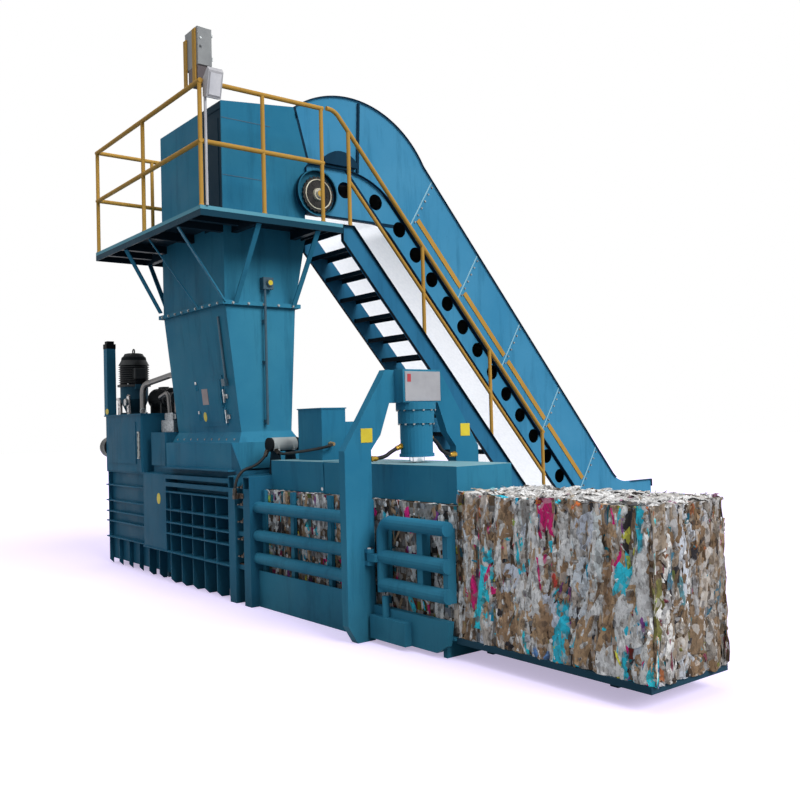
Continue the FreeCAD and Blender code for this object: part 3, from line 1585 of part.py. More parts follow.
def return_pipe():
    """Large pipe that rises from the tank and crosses to the valve block."""
    points = [(-1600, -300, lid_z), (-1600, -300, lid_z + 330), (-880, -200, lid_z + 430), (-880, -200, stand_z + 130)]
    return hose(points, 32, [110, 110], pipe_flats).cut(manifold)


save("hydraulic_pipes", pressure_pipe(), return_pipe())


def oil_cooler():
    """Round fan cowl of the oil cooler on the rear end of the tank."""
    y = -tank_half + 105
    z = 1390
    x0 = rear_x
    cowl = faceted((x0 - 150, y, z), (x0, y, z), 125, 28)
    mouth = faceted((x0 - 151, y, z), (x0 - 40, y, z), 112, 28)
    blades = [block(x0 - 110, x0 - 98, y - 114, y + 114, z - 12, z + 12),
              block(x0 - 110, x0 - 98, y - 12, y + 12, z - 114, z + 114)]
    return joined([cowl.cut(mouth)] + blades)


def riser_mast():
    """Square cable riser with a dark cap, behind the near corner of the tank."""
    half = 54
    x = rear_x + half + 10
    y = -tank_half - 13 + half
    body = block(x - half, x + half, y - half, y + half, lid_z, riser_top)
    cap = block(x - half - 3, x + half + 3, y - half - 3, y + half + 3, riser_top, riser_top + 55)
    finial = block(x - half + 12, x + half - 12, y - half + 12, y + half - 12, riser_top + 55, riser_top + 90)
    return joined([body, cap, finial])


save("oil_cooler", oil_cooler())
save("riser_mast", riser_mast())
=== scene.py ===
import bpy
import bmesh
import math
import random
from mathutils import Matrix, Vector, noise


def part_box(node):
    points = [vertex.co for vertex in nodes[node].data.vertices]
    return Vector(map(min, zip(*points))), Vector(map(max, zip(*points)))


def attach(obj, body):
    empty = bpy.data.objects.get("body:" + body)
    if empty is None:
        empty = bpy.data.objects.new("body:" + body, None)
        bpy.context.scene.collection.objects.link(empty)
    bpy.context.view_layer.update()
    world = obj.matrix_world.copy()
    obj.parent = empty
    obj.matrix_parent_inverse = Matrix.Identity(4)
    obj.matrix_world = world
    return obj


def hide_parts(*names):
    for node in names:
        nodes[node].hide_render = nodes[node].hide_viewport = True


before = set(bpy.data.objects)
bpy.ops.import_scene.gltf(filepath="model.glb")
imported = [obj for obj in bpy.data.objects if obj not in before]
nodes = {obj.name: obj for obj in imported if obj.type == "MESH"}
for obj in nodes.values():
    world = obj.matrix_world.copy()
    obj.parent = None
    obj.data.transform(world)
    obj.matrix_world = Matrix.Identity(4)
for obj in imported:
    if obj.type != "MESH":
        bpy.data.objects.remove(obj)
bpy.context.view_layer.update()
random.seed(41)

# ---------------------------------------------------------------------------
# Camera, floor and lamps of the studio.  The floor is a plain pale sheet and
# the lamps are large and soft, brighter from the bale's end of the machine.


def linear(code):
    """Scene colour from a paint chart's six-digit code."""
    parts = [int(code[k:k + 2], 16) / 255 for k in (0, 2, 4)]
    return [c / 12.92 if c <= 0.04045 else ((c + 0.055) / 1.055) ** 2.4 for c in parts] + [1.0]


def new_finish(name, rough, metal=0.0):
    finish = bpy.data.materials.new(name)
    finish.use_nodes = True
    tree = finish.node_tree
    surface = tree.nodes["Principled BSDF"]
    surface.inputs["Roughness"].default_value = rough
    surface.inputs["Metallic"].default_value = metal
    coords = tree.nodes.new("ShaderNodeTexCoord")
    return finish, tree, surface, coords.outputs["Object"]


def arithmetic(tree, how, first, second):
    node = tree.nodes.new("ShaderNodeMath")
    node.operation = how
    for socket, value in zip(node.inputs, (first, second)):
        if isinstance(value, (int, float)):
            socket.default_value = value
        else:
            tree.links.new(value, socket)
    return node.outputs[0]


def blend_colours(tree, factor, first, second, how="MIX"):
    """Either colour is a constant or another node's output."""
    node = tree.nodes.new("ShaderNodeMix")
    node.data_type = "RGBA"
    node.blend_type = how
    tree.links.new(factor, node.inputs["Factor"])
    for socket, colour in ((node.inputs[6], first), (node.inputs[7], second)):
        if isinstance(colour, (list, tuple)):
            socket.default_value = colour
        else:
            tree.links.new(colour, socket)
    return node.outputs[2]


lens = bpy.data.cameras.new("photo_camera")
lens.sensor_width = 36
lens.lens = 904.3 / 800 * 36
yaw, pitch, roll = (math.radians(a) for a in (141.99, 1.422, 1.479))
ahead = Vector((math.cos(yaw) * math.cos(pitch), math.sin(yaw) * math.cos(pitch), math.sin(pitch)))
right = ahead.cross(Vector((0, 0, 1))).normalized()
down = ahead.cross(right)
across = math.cos(roll) * right + math.sin(roll) * down
below = -math.sin(roll) * right + math.cos(roll) * down
camera = bpy.data.objects.new("photo_camera", lens)
camera.matrix_world = Matrix(((across.x, -below.x, -ahead.x, 8.43), (across.y, -below.y, -ahead.y, -4.38),
                              (across.z, -below.z, -ahead.z, 1.6), (0, 0, 0, 1)))
bpy.context.scene.collection.objects.link(camera)
bpy.context.scene.camera = camera
bpy.context.scene.view_settings.view_transform = "Standard"

sky = bpy.data.worlds.new("studio_sky")
sky.use_nodes = True
sky_tree = sky.node_tree
backdrop = sky_tree.nodes["Background"]
backdrop.inputs["Color"].default_value = (0.93, 0.96, 1.0, 1)
backdrop.inputs["Strength"].default_value = 0.37
white = sky_tree.nodes.new("ShaderNodeBackground")
white.inputs["Color"].default_value = (1, 1, 1, 1)
white.inputs["Strength"].default_value = 1.0
ray = sky_tree.nodes.new("ShaderNodeLightPath")
seen = arithmetic(sky_tree, "MAXIMUM", ray.outputs["Is Camera Ray"], ray.outputs["Is Glossy Ray"])
seen = arithmetic(sky_tree, "MAXIMUM", seen, ray.outputs["Is Transmission Ray"])
choose = sky_tree.nodes.new("ShaderNodeMixShader")
sky_tree.links.new(seen, choose.inputs[0])
sky_tree.links.new(backdrop.outputs[0], choose.inputs[1])
sky_tree.links.new(white.outputs[0], choose.inputs[2])
sky_tree.links.new(choose.outputs[0], sky_tree.nodes["World Output"].inputs["Surface"])
bpy.context.scene.world = sky

for title, aim, energy, width in (("key_lamp", (-1.0, -0.10, -0.72), 2.7, 0.6),
                                  ("fill_lamp", (0.5, 0.9, -0.55), 0.22, 0.9),
                                  ("top_lamp", (0.1, 0.2, -1.0), 0.55, 0.8)):
    lamp = bpy.data.lights.new(title, "SUN")
    lamp.energy = energy
    lamp.angle = width
    holder = bpy.data.objects.new(title, lamp)
    holder.rotation_euler = Vector(aim).to_track_quat("-Z", "Y").to_euler()
    bpy.context.scene.collection.objects.link(holder)

sheet = bmesh.new()
bmesh.ops.create_grid(sheet, x_segments=1, y_segments=1, size=60.0)
floor_mesh = bpy.data.meshes.new("floor")
sheet.to_mesh(floor_mesh)
sheet.free()
floor = bpy.data.objects.new("floor", floor_mesh)
bpy.context.scene.collection.objects.link(floor)
pale, tree, surface, place = new_finish("pale_floor", 0.9)
surface.inputs["Specular IOR Level"].default_value = 0.0
path = tree.nodes.new("ShaderNodeLightPath")
looked_at = arithmetic(tree, "MAXIMUM", path.outputs["Is Camera Ray"], path.outputs["Is Glossy Ray"])
looked_at = arithmetic(tree, "MAXIMUM", looked_at, path.outputs["Is Transmission Ray"])
shine = blend_colours(tree, path.outputs["Is Glossy Ray"], (0.80, 0.72, 0.96, 1), (0.97, 0.97, 1.0, 1))
tree.links.new(blend_colours(tree, looked_at, (0.26, 0.27, 0.29, 1), shine), surface.inputs["Base Color"])
glow = tree.nodes.new("ShaderNodeEmission")
tree.links.new(shine, glow.inputs["Color"])
tree.links.new(arithmetic(tree, "MULTIPLY", looked_at, 0.53), glow.inputs["Strength"])
both = tree.nodes.new("ShaderNodeAddShader")
tree.links.new(surface.outputs[0], both.inputs[0])
tree.links.new(glow.outputs[0], both.inputs[1])
tree.links.new(both.outputs[0], tree.nodes["Material Output"].inputs["Surface"])
floor_mesh.materials.append(pale)

# ---------------------------------------------------------------------------
# Hoses of the tension cylinder and of the wire-tying drive: rubber over steel
# braid, with plated ferrules and hexagon nuts pressed and screwed on the ends.


def grain(tree, place, scale, detail=4.0, stretch=(1, 1, 1), rough=0.55):
    """Noise on the piece's own coordinates, stretched along an axis if asked."""
    mapping = tree.nodes.new("ShaderNodeMapping")
    mapping.inputs["Scale"].default_value = stretch
    tree.links.new(place, mapping.inputs["Vector"])
    cloud = tree.nodes.new("ShaderNodeTexNoise")
    cloud.inputs["Scale"].default_value = scale
    cloud.inputs["Detail"].default_value = detail
    cloud.inputs["Roughness"].default_value = rough
    tree.links.new(mapping.outputs["Vector"], cloud.inputs["Vector"])
    return cloud.outputs["Fac"]


def spread(tree, value, low, high, out_low=0.0, out_high=1.0):
    node = tree.nodes.new("ShaderNodeMapRange")
    for key, number in (("From Min", low), ("From Max", high), ("To Min", out_low), ("To Max", out_high)):
        node.inputs[key].default_value = number
    tree.links.new(value, node.inputs["Value"])
    return node.outputs["Result"]


def relief(tree, surface, height, strength, distance):
    bump = tree.nodes.new("ShaderNodeBump")
    bump.inputs["Strength"].default_value = strength
    bump.inputs["Distance"].default_value = distance
    tree.links.new(height, bump.inputs["Height"])
    tree.links.new(bump.outputs["Normal"], surface.inputs["Normal"])


def black_coat(name, colour, faded, rough, scale, metal=0.0):
    """Rubber or black paint, greyed in clouds, with a fine tooth."""
    finish, tree, surface, place = new_finish(name, rough, metal)
    surface.inputs["Specular IOR Level"].default_value = 0.25
    clouds = grain(tree, place, scale, 6)
    tree.links.new(blend_colours(tree, spread(tree, clouds, 0.35, 0.7), linear(colour), linear(faded)),
                   surface.inputs["Base Color"])
    tree.links.new(spread(tree, clouds, 0.3, 0.7, rough - 0.1, rough + 0.12), surface.inputs["Roughness"])
    relief(tree, surface, grain(tree, place, 150.0, 3), 0.18, 0.001)
    return finish


def lay_hose(name, route, radius, finish):
    """One smooth hose along its own line."""
    line = bpy.data.curves.new(name, "CURVE")
    line.dimensions = "3D"
    spline = line.splines.new("NURBS")
    spline.points.add(len(route) - 1)
    for point, place in zip(spline.points, route):
        point.co = (*place, 1.0)
    spline.order_u = 3
    spline.use_endpoint_u = True
    spline.resolution_u = 16
    line.bevel_depth = radius
    line.bevel_resolution = 5
    line.use_fill_caps = True
    line.materials.append(finish)
    piece = bpy.data.objects.new(name, line)
    bpy.context.scene.collection.objects.link(piece)
    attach(piece, "frame")
    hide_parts("tension_hoses")


def cylinder(mesh, start, end, radius, end_radius=None, sides=24):
    """A turned length between two points, straight or tapered."""
    a, b = Vector(start), Vector(end)
    placing = (b - a).to_track_quat("Z", "Y").to_matrix().to_4x4()
    placing.translation = (a + b) / 2
    return bmesh.ops.create_cone(mesh, cap_ends=True, segments=sides, radius1=radius,
                                 radius2=radius if end_radius is None else end_radius,
                                 depth=(b - a).length, matrix=placing)["verts"]


def slab(mesh, low, high, ease=0.0):
    """A cut plate or housing, its edges broken by a small bevel."""
    spans = [b - a for a, b in zip(low, high)]
    middle = [(a + b) / 2 for a, b in zip(low, high)]
    placing = Matrix.Translation(middle) @ Matrix.Diagonal((*spans, 1))
    grown = bmesh.ops.create_cube(mesh, size=1.0, matrix=placing)["verts"]
    if ease:
        rim = list({edge for vert in grown for edge in vert.link_edges})
        bmesh.ops.bevel(mesh, geom=rim, offset=ease, segments=2, profile=0.5, affect="EDGES", material=-1)


def fit(mesh, name, finish, body):
    """Turn what was modelled into a piece of the machine that rides on one of its bodies."""
    bmesh.ops.recalc_face_normals(mesh, faces=mesh.faces)
    data = bpy.data.meshes.new(name)
    mesh.to_mesh(data)
    mesh.free()
    data.materials.append(finish)
    piece = bpy.data.objects.new(name, data)
    bpy.context.scene.collection.objects.link(piece)
    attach(piece, body)
    return piece


def plain_paint(name, colour, faded, rough=0.45, metal=0.0, scale=9.0):
    finish, tree, surface, place = new_finish(name, rough, metal)
    clouds = grain(tree, place, scale, 5)
    tree.links.new(blend_colours(tree, spread(tree, clouds, 0.35, 0.68), linear(colour), linear(faded)),
                   surface.inputs["Base Color"])
    relief(tree, surface, grain(tree, place, 300.0, 2), 0.2, 0.0008)
    return finish


braid = black_coat("hose_rubber", "101112", "1f2021", 0.55, 30.0)
near_route = [(2.990, -0.122, 1.420), (2.990, -0.215, 1.390), (2.990, -0.295, 1.335), (2.990, -0.420, 1.335)]
far_route = [(2.990, 0.122, 1.495), (2.990, 0.215, 1.465), (2.990, 0.295, 1.335), (2.990, 0.420, 1.335)]
feed_route = [(1.120, -0.135, 1.372), (1.190, -0.135, 1.335), (1.400, -0.150, 1.350), (1.905, -0.150, 1.395),
              (1.920, -0.020, 1.428), (1.845, -0.020, 1.428)]
drain_route = [(1.060, -0.195, 1.372), (1.060, -0.250, 1.250), (1.075, -0.545, 1.190), (1.075, -0.545, 0.985)]
for title, route, radius in (("tension_hose_near", near_route, 0.015), ("tension_hose_far", far_route, 0.015),
                             ("drive_feed_hose", feed_route, 0.013), ("drive_drain_hose", drain_route, 0.013)):
    lay_hose(title, route, radius, braid)
ferrules = plain_paint("yellow_zinc", "b8912f", "8c6a22", 0.35, 0.6)
blued = plain_paint("blued_steel", "24211f", "3a342d", 0.4, 0.5)
pale_brass = plain_paint("pale_brass", "b59a72", "8f7348", 0.4, 0.4)
for title, coat, spots in (
        ("tension_hose_ends", ferrules, ((near_route[0], near_route[1]), (near_route[3], near_route[2]),
                                         (far_route[0], far_route[1]), (far_route[3], far_route[2]))),
        ("drive_hose_ends", blued, ((feed_route[0], feed_route[1]), (drain_route[0], drain_route[1]),
                                    (drain_route[3], drain_route[2]))),
        ("valve_box_fitting", pale_brass, ((feed_route[5], feed_route[4]),))):
    ends = bmesh.new()
    for start, toward in spots:
        start, way = Vector(start), (Vector(toward) - Vector(start)).normalized()
        cylinder(ends, start - way * 0.002, start + way * 0.018, 0.023, sides=6)
        cylinder(ends, start + way * 0.018, start + way * 0.05, 0.0195)
        cylinder(ends, start + way * 0.05, start + way * 0.062, 0.0195, 0.0162)
    fit(ends, title, coat, "frame")

# ---------------------------------------------------------------------------
# Press chamber, rear frame, tying frame and all the welded plate work.
# Rolled steel plate, flame cut and welded, then sprayed with one coat of
# petrol-blue machine enamel that has dulled a little and is darker in patches
# low down.


def split(tree, vector):
    """The three parts of a place or a colour, by the letters X, Y and Z."""
    axes = tree.nodes.new("ShaderNodeSeparateXYZ")
    tree.links.new(vector, axes.inputs["Vector"])
    return axes.outputs


def window(tree, value, low, high):
    """1 between two values, 0 outside."""
    return arithmetic(tree, "MULTIPLY", spread(tree, value, low - 0.001, low + 0.001),
                      spread(tree, value, high - 0.001, high + 0.001, 1.0, 0.0))


def enamel(name, colour, faded, grime, darker_low=True):
    """Sprayed machine enamel: faded clouds, runs of dirt, patches darker towards the floor, orange peel."""
    finish, tree, surface, place = new_finish(name, 0.42)
    surface.inputs["Specular IOR Level"].default_value = 0.025
    clouds = spread(tree, grain(tree, place, 0.9, 5), 0.38, 0.66)
    shade = blend_colours(tree, clouds, linear(colour), linear(faded))
    runs = spread(tree, grain(tree, place, 5.0, 6, (1.6, 1.6, 0.22), 0.65), 0.52, 0.78, 0.0, 0.5)
    shade = blend_colours(tree, runs, shade, linear(grime))
    specks = spread(tree, grain(tree, place, 60.0, 3), 0.66, 0.74, 0.0, 0.22)
    shade = blend_colours(tree, specks, shade, linear(grime))
    if darker_low:
        low = spread(tree, split(tree, place)["Z"], 0.02, 0.34, 0.55, 0.0)
        patchy = arithmetic(tree, "MULTIPLY", low, grain(tree, place, 7.0, 5))
        shade = blend_colours(tree, patchy, shade, linear("1c2f38"))
    tree.links.new(shade, surface.inputs["Base Color"])
    gloss = spread(tree, grain(tree, place, 3.0, 4), 0.3, 0.7, 0.34, 0.52)
    tree.links.new(gloss, surface.inputs["Roughness"])
    relief(tree, surface, grain(tree, place, 210.0, 2), 0.10, 0.0012)
    return finish, tree, surface, place


def dress(names, finish):
    """Give CAD nodes, which keep their own shape, a finish."""
    for name in names:
        for holder in nodes[name].material_slots:
            holder.material = finish


PETROL = ("2b7393", "3a839f", "1a485e")  # fresh, faded and grimy
dress(["forward_base", "cage_near", "cage_far", "portal_frame", "squeeze_door_near", "squeeze_door_far",
       "tension_barrel", "throat_box", "hopper_shaft", "hopper_band", "shaft_hatch", "valve_box",
       "platform_struts"], enamel("petrol_enamel", *PETROL)[0])
dress(["press_chamber", "rear_frame", "tying_frame", "oil_tank", "valve_stand"],
      enamel("rear_enamel", "235f7c", "2d6b87", "163c50")[0])


def banded(name, bands, base=PETROL):
    """The same enamel with other fields, each one where coordinates lie between two values."""
    finish, tree, surface, place = enamel(name, *base, darker_low=False)
    axes = split(tree, place)
    shade = surface.inputs["Base Color"].links[0].from_socket
    for limits, colour in bands:
        field = None
        for axis, low, high in limits:
            inside = window(tree, axes[axis], low, high)
            field = inside if field is None else arithmetic(tree, "MULTIPLY", field, inside)
        shade = blend_colours(tree, field, shade, linear(colour))
    tree.links.new(shade, surface.inputs["Base Color"])
    return finish


# Painted shade: a dark navy field on the -Y side of the feed box, X 0.31 to 0.69, darkens its recess.
dress(["feed_box"], banded("feed_box_enamel", [((("X", 0.31, 0.69), ("Y", -0.43, -0.404)), "15303f")]))
dress(["riser_mast"], banded("riser_enamel", [((("Z", 2.577, 2.7),), "17191b")], ("2a6a87", "31708c", "1a4557")))
# Painted highlight: a pale band on the top face of the roof beam and of the top platen, where light from above falls.
for name in ("roof_beam", "top_platen"):
    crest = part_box(name)[1][2]
    dress([name], banded(name + "_enamel", [((("Z", crest - 0.002, crest + 0.01),), "7fabb5")]))
dress(["drive_guard"], banded("guard_enamel", [((("X", 0.7505, 0.803),), "12303f")], ("2b6b86", "336f88", "173c4e")))

# ---------------------------------------------------------------------------
# Ram, cylinder, pipes, shafts, pins and the hatch's fittings: bare steel, drawn,
# turned or ground, with a thin oil film.  The two rods are hard chromed.


def bare_steel(name, colour, rough, stretch=(1, 1, 1)):
    finish, tree, surface, place = new_finish(name, rough, 1.0)
    streaks = grain(tree, place, 40.0, 5, stretch)
    shade = blend_colours(tree, spread(tree, streaks, 0.35, 0.7), linear(colour), linear("5f6265"))
    tree.links.new(shade, surface.inputs["Base Color"])
    tree.links.new(spread(tree, streaks, 0.3, 0.7, rough - 0.08, rough + 0.14), surface.inputs["Roughness"])
    relief(tree, surface, streaks, 0.12, 0.0006)
    return finish


dress(["press_ram"], bare_steel("rubbed_plate", "9aa0a4", 0.38, (0.05, 1, 1)))
dress(["main_barrel", "valve_manifold"], bare_steel("machined_steel", "a9adb0", 0.34))
dress(["hydraulic_pipes"], bare_steel("pipe_steel", "6a6663", 0.4))
dress(["head_shaft", "tail_shaft", "pivot_pins"], bare_steel("turned_steel", "b4b6b8", 0.30, (12, 1, 1)))
dress(["hatch_fittings"], bare_steel("plated_steel", "b9bcbd", 0.32))
chrome, tree, surface, place = new_finish("hard_chrome", 0.12, 1.0)
tree.links.new(blend_colours(tree, grain(tree, place, 20.0, 3), linear("d6d9dc"), linear("b9bdc2")),
               surface.inputs["Base Color"])
dress(["main_rod", "tension_rod"], chrome)

# ---------------------------------------------------------------------------
# Finished bale on the tray and the one still in the channel.  Pressed office
# paper, magazines and board: a lumpy core under torn, creased sheets that lie
# mostly on edge, as the ram folded them.

# The near-black 26252a among the side colours is partly dark paper and partly painted shade: its share is raised to
# stand for dark crevices between sheets.
SIDE_COLOURS = [("f2f0ee", 12), ("d6d3d0", 11), ("b1a79d", 8), ("a38c74", 9), ("8f765e", 9), ("6b5745", 5),
                ("c3cbd8", 6), ("8a8886", 4), ("2fb4cb", 5.0), ("1f87a8", 2.4), ("cf2576", 2.0), ("7d4587", 2.4),
                ("c6bd45", 1.5), ("93a84e", 1.0), ("c46b3c", 1.2), ("a83c33", 1.0), ("26252a", 6.0)]
# Painted shade: the ends take a darker palette than the sides, to darken the end that the key lamp lights most.
END_PAINTED_SHADE_COLOURS = [("b5aca3", 10), ("9a8b7b", 12), ("8a735c", 15), ("776049", 12), ("5d4b3b", 8), ("a7a5a6", 8),
               ("c6c6cb", 5), ("5f8f9a", 2.4), ("3f6f85", 1.4), ("8f4a5c", 1.4), ("a0623f", 2.0), ("7d7a45", 1.0),
               ("38363a", 5.0)]
BIG_COLOURS = [("a3876a", 12), ("8b7159", 7), ("dad6d2", 8), ("bcc2cf", 5), ("aaa39d", 3), ("2fb2cc", 5.5),
               ("c8246f", 2.6), ("5b7fb0", 1.6), ("c2c04c", 1.0), ("7a4386", 0.8)]
TOP_COLOURS = [("f6f5f4", 30), ("eeecea", 20), ("dcd8d3", 9), ("c4b8a8", 3), ("a9937b", 1.4), ("56a3b0", 0.6),
               ("b07d9a", 0.5), ("5b5a5c", 1.5)]


def paper_finish(name):
    """Creased paper: the sheet's own colour, darker in the folds as painted shade, matt."""
    finish, tree, surface, place = new_finish(name, 0.78)
    tint = tree.nodes.new("ShaderNodeVertexColor")
    tint.layer_name = "sheet_colour"
    creases = grain(tree, place, 38.0, 7, (1, 1, 0.45), 0.7)
    shade = blend_colours(tree, spread(tree, creases, 0.36, 0.52, 0.75, 0.0), tint.outputs["Color"],
                          linear("3f3933"))
    torn = tree.nodes.new("ShaderNodeTexVoronoi")
    torn.inputs["Scale"].default_value = 30.0
    tree.links.new(place, torn.inputs["Vector"])
    bits = split(tree, torn.outputs["Color"])
    shade = blend_colours(tree, spread(tree, bits["X"], 0.84, 0.86, 0.0, 0.35), shade, linear("6e5b49"))
    shade = blend_colours(tree, spread(tree, bits["Y"], 0.84, 0.86, 0.0, 0.4), shade, linear("d8d7d8"))
    shade = blend_colours(tree, spread(tree, bits["Z"], 0.94, 0.95, 0.0, 0.5), shade, linear("3a3637"))
    print_marks = spread(tree, grain(tree, place, 130.0, 2, (1, 1, 3.0)), 0.6, 0.68, 0.0, 0.28)
    shade = blend_colours(tree, print_marks, shade, linear("57555a"))
    tree.links.new(shade, surface.inputs["Base Color"])
    surface.inputs["Specular IOR Level"].default_value = 0.15
    relief(tree, surface, creases, 0.8, 0.014)
    return finish


def pick(colours):
    """One sheet's colour, with a slight shift of its own."""
    code = random.choices([c for c, _ in colours], [w for _, w in colours])[0]
    shift = random.uniform(0.86, 1.1)
    return [min(1.0, c * shift) for c in linear(code)[:3]] + [1.0]


FOLD_PITCH = 0.155     # how thick one stroke of the ram packs the paper
FOLD_DEPTH = 0.022     # how far the crease between two layers is drawn in
MOOD_SHARE = 0.38      # share of the sheets that take their layer's colour
SIDE_PAINTED_LIGHT = {-2: 1.6, 2: 1.35}  # painted light: the long sides' sheets are brightened, as less light falls on them than on the ends
LAYER_MOODS = [[("a3876a", 3), ("8a715a", 3)], [("f0eeec", 3), ("d6d3d0", 2)], [("aaa19a", 3), ("8e8780", 2)],
               [("d3d8e2", 3), ("f0efee", 2)], [("87705b", 3), ("a88f76", 3)]]


def fold_distance(spot, run):
    """0 on the crease between two pressed layers, 0.5 in the middle of one."""
    wander = 0.035 * noise.noise(Vector((spot.z * 2.2, round(spot[run] / FOLD_PITCH) * 3.7, 0.0)))
    share = (spot[run] + wander) / FOLD_PITCH % 1.0
    return min(share, 1.0 - share)


def lay_sheets(mesh, paint, side, low, high, count, colours, size, lift, lean, cuts=(2, 4), tip=0.0):
    """Torn sheets on one face of a bale; side is the axis the face looks along, with its sign."""
    axis = abs(side) - 1
    outward = Vector((0, 0, 0))
    outward[axis] = 1 if side > 0 else -1
    upward = Vector((0, 0, 1)) if axis != 2 else Vector((1, 0, 0))
    sideways = upward.cross(outward)
    run = 0 if axis != 0 else 1
    for _ in range(count):
        centre = Vector([random.uniform(a, b) for a, b in zip(low, high)])
        centre[axis] = (high if side > 0 else low)[axis]
        turn = Matrix.Rotation(random.gauss(0, lean), 3, outward)
        along_sheet, flat = turn @ upward, turn @ sideways
        tall = random.uniform(*size[0])
        wide = random.uniform(*size[1])
        level = random.uniform(0.1, 1.0) * lift
        tips = (random.gauss(0, tip), random.gauss(0, tip))
        placing = Matrix((flat, along_sheet, outward)).transposed().to_4x4()
        placing.translation = centre + outward * level
        grown = bmesh.ops.create_grid(mesh, x_segments=cuts[0], y_segments=cuts[1], size=0.5,
                                      matrix=placing)["verts"]
        phase = random.uniform(0, 50)
        curl = random.uniform(0.2, 1.0) * lift
        for vert in grown:
            off = vert.co - placing.translation
            u, v = off.dot(flat), off.dot(along_sheet)
            ragged = 0.13 * noise.noise(Vector((u * 3 + phase, v * 5, phase)))
            reach = max(abs(u), abs(v)) * 2
            wave = noise.noise(Vector((u * 2.2, v * 3.1 + phase, phase))) * lift * 0.7
            wave += noise.noise(Vector((u * wide * 40, v * tall * 24, phase))) * lift * 0.5
            wave += tips[0] * u * wide + tips[1] * v * tall
            vert.co = (placing.translation + flat * wide * (u + ragged) + along_sheet * tall * (v + ragged * 0.7)
                       + outward * (wave - curl * reach ** 4))
            if axis != 2:
                vert.co -= outward * FOLD_DEPTH * math.exp(-(fold_distance(vert.co, run) / 0.14) ** 2)
            give = 0.004 + 0.022 * noise.noise(vert.co * 7.0)
            for k in range(3):
                if k != axis:
                    vert.co[k] = min(max(vert.co[k], low[k] - give), high[k] + give)
        layer = int(centre[run] / FOLD_PITCH + 40)
        if axis != 2 and colours is not BIG_COLOURS and random.random() < MOOD_SHARE:
            tone = pick(LAYER_MOODS[layer * 7 % len(LAYER_MOODS)])
        else:
            tone = pick(colours)
        # Painted light: sheets on a long side are brightened by that side's factor.
        if side in SIDE_PAINTED_LIGHT:
            tone = [min(0.93, c * SIDE_PAINTED_LIGHT[side]) for c in tone[:3]] + [1.0]
        for face in {f for vert in grown for f in vert.link_faces}:
            for corner in face.loops:
                corner[paint] = tone


CORE_CELL = 0.06       # grid of the core under the sheets


def pressed_bale(name, finish, low, high, faces, lift):
    """The core is a grid-cut block, knocked out of true, and each face carries its sheets."""
    mesh = bmesh.new()
    paint = mesh.loops.layers.float_color.new("sheet_colour")
    spans = [b - a for a, b in zip(low, high)]
    middle = [(a + b) / 2 for a, b in zip(low, high)]
    bmesh.ops.create_cube(mesh, size=1.0, matrix=Matrix.Translation(middle) @ Matrix.Diagonal((*spans, 1)))
    for axis in range(3):
        for k in range(1, round(spans[axis] / CORE_CELL)):
            at = Vector(middle)
            at[axis] = low[axis] + k * CORE_CELL
            normal = Vector((0, 0, 0))
            normal[axis] = 1
            bmesh.ops.bisect_plane(mesh, geom=mesh.verts[:] + mesh.edges[:] + mesh.faces[:], plane_co=at,
                                   plane_no=normal)
    mesh.normal_update()
    for vert in mesh.verts:
        dent = 0.4 + 0.6 * noise.noise(vert.co * 9)
        vert.co -= vert.normal * abs(dent) * 0.012
    # Painted shade: the core's faces take a side colour at 0.4 of its brightness, as shade in the gaps between the
    # sheets.
    for face in mesh.faces:
        tone = pick(SIDE_COLOURS)
        for corner in face.loops:
            corner[paint] = [c * 0.4 for c in tone[:3]] + [1.0]
    for layer in faces:
        lay_sheets(mesh, paint, layer[0], low, high, layer[1], layer[2], layer[3], lift, *layer[4:])
    data = bpy.data.meshes.new(name)
    mesh.to_mesh(data)
    mesh.free()
    data.materials.append(finish)
    piece = bpy.data.objects.new(name, data)
    bpy.context.scene.collection.objects.link(piece)
    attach(piece, "frame")
    return piece


paper = paper_finish("pressed_paper")
tall_strip = ((0.06, 0.26), (0.018, 0.06))
scrap = ((0.02, 0.09), (0.012, 0.05))
big_sheet = ((0.16, 0.46), (0.06, 0.17))
low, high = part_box("finished_bale")
waste_bale = pressed_bale("paper_bale", paper, low, high,
                          [(-2, 650, SIDE_COLOURS, tall_strip, 0.18), (-2, 140, BIG_COLOURS, big_sheet, 0.22, (4, 8)),
                           (-2, 650, SIDE_COLOURS, scrap, 0.5), (2, 500, SIDE_COLOURS, tall_strip, 0.18),
                           (2, 80, BIG_COLOURS, big_sheet, 0.22, (4, 8)), (2, 350, SIDE_COLOURS, scrap, 0.5),
                           (1, 360, END_PAINTED_SHADE_COLOURS, tall_strip, 0.3), (1, 36, END_PAINTED_SHADE_COLOURS, big_sheet, 0.3, (4, 8)),
                           (1, 450, END_PAINTED_SHADE_COLOURS, scrap, 0.6), (-1, 120, END_PAINTED_SHADE_COLOURS, tall_strip, 0.2),
                           (3, 700, TOP_COLOURS, scrap, 1.2, (2, 3), 0.35),
                           (3, 150, TOP_COLOURS, ((0.10, 0.22), (0.06, 0.12)), 1.2, (4, 5), 0.12)], 0.018)
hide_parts("finished_bale")
low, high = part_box("channel_bale")
channel_paper = pressed_bale("channel_paper", paper, low, high,
                             [(-2, 700, SIDE_COLOURS, scrap, 0.5), (-2, 300, SIDE_COLOURS, tall_strip, 0.4),
                              (2, 500, SIDE_COLOURS, scrap, 0.5), (1, 120, END_PAINTED_SHADE_COLOURS, tall_strip, 0.2),
                              (3, 250, TOP_COLOURS, scrap, 1.2)], 0.007)
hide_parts("channel_bale")

# ---------------------------------------------------------------------------
# Conveyor: side boards, beams and the closing sheet below.  Folded sheet in a
# paler coat of the enamel, the turned-out lips in dark primer, dark strips along
# the beams' flanges as painted shade; the closing sheet is galvanised, its
# colour lifted to near white as painted light.

BOARD_ENAMEL = ("3d86ad", "4a90b5", "225a77")


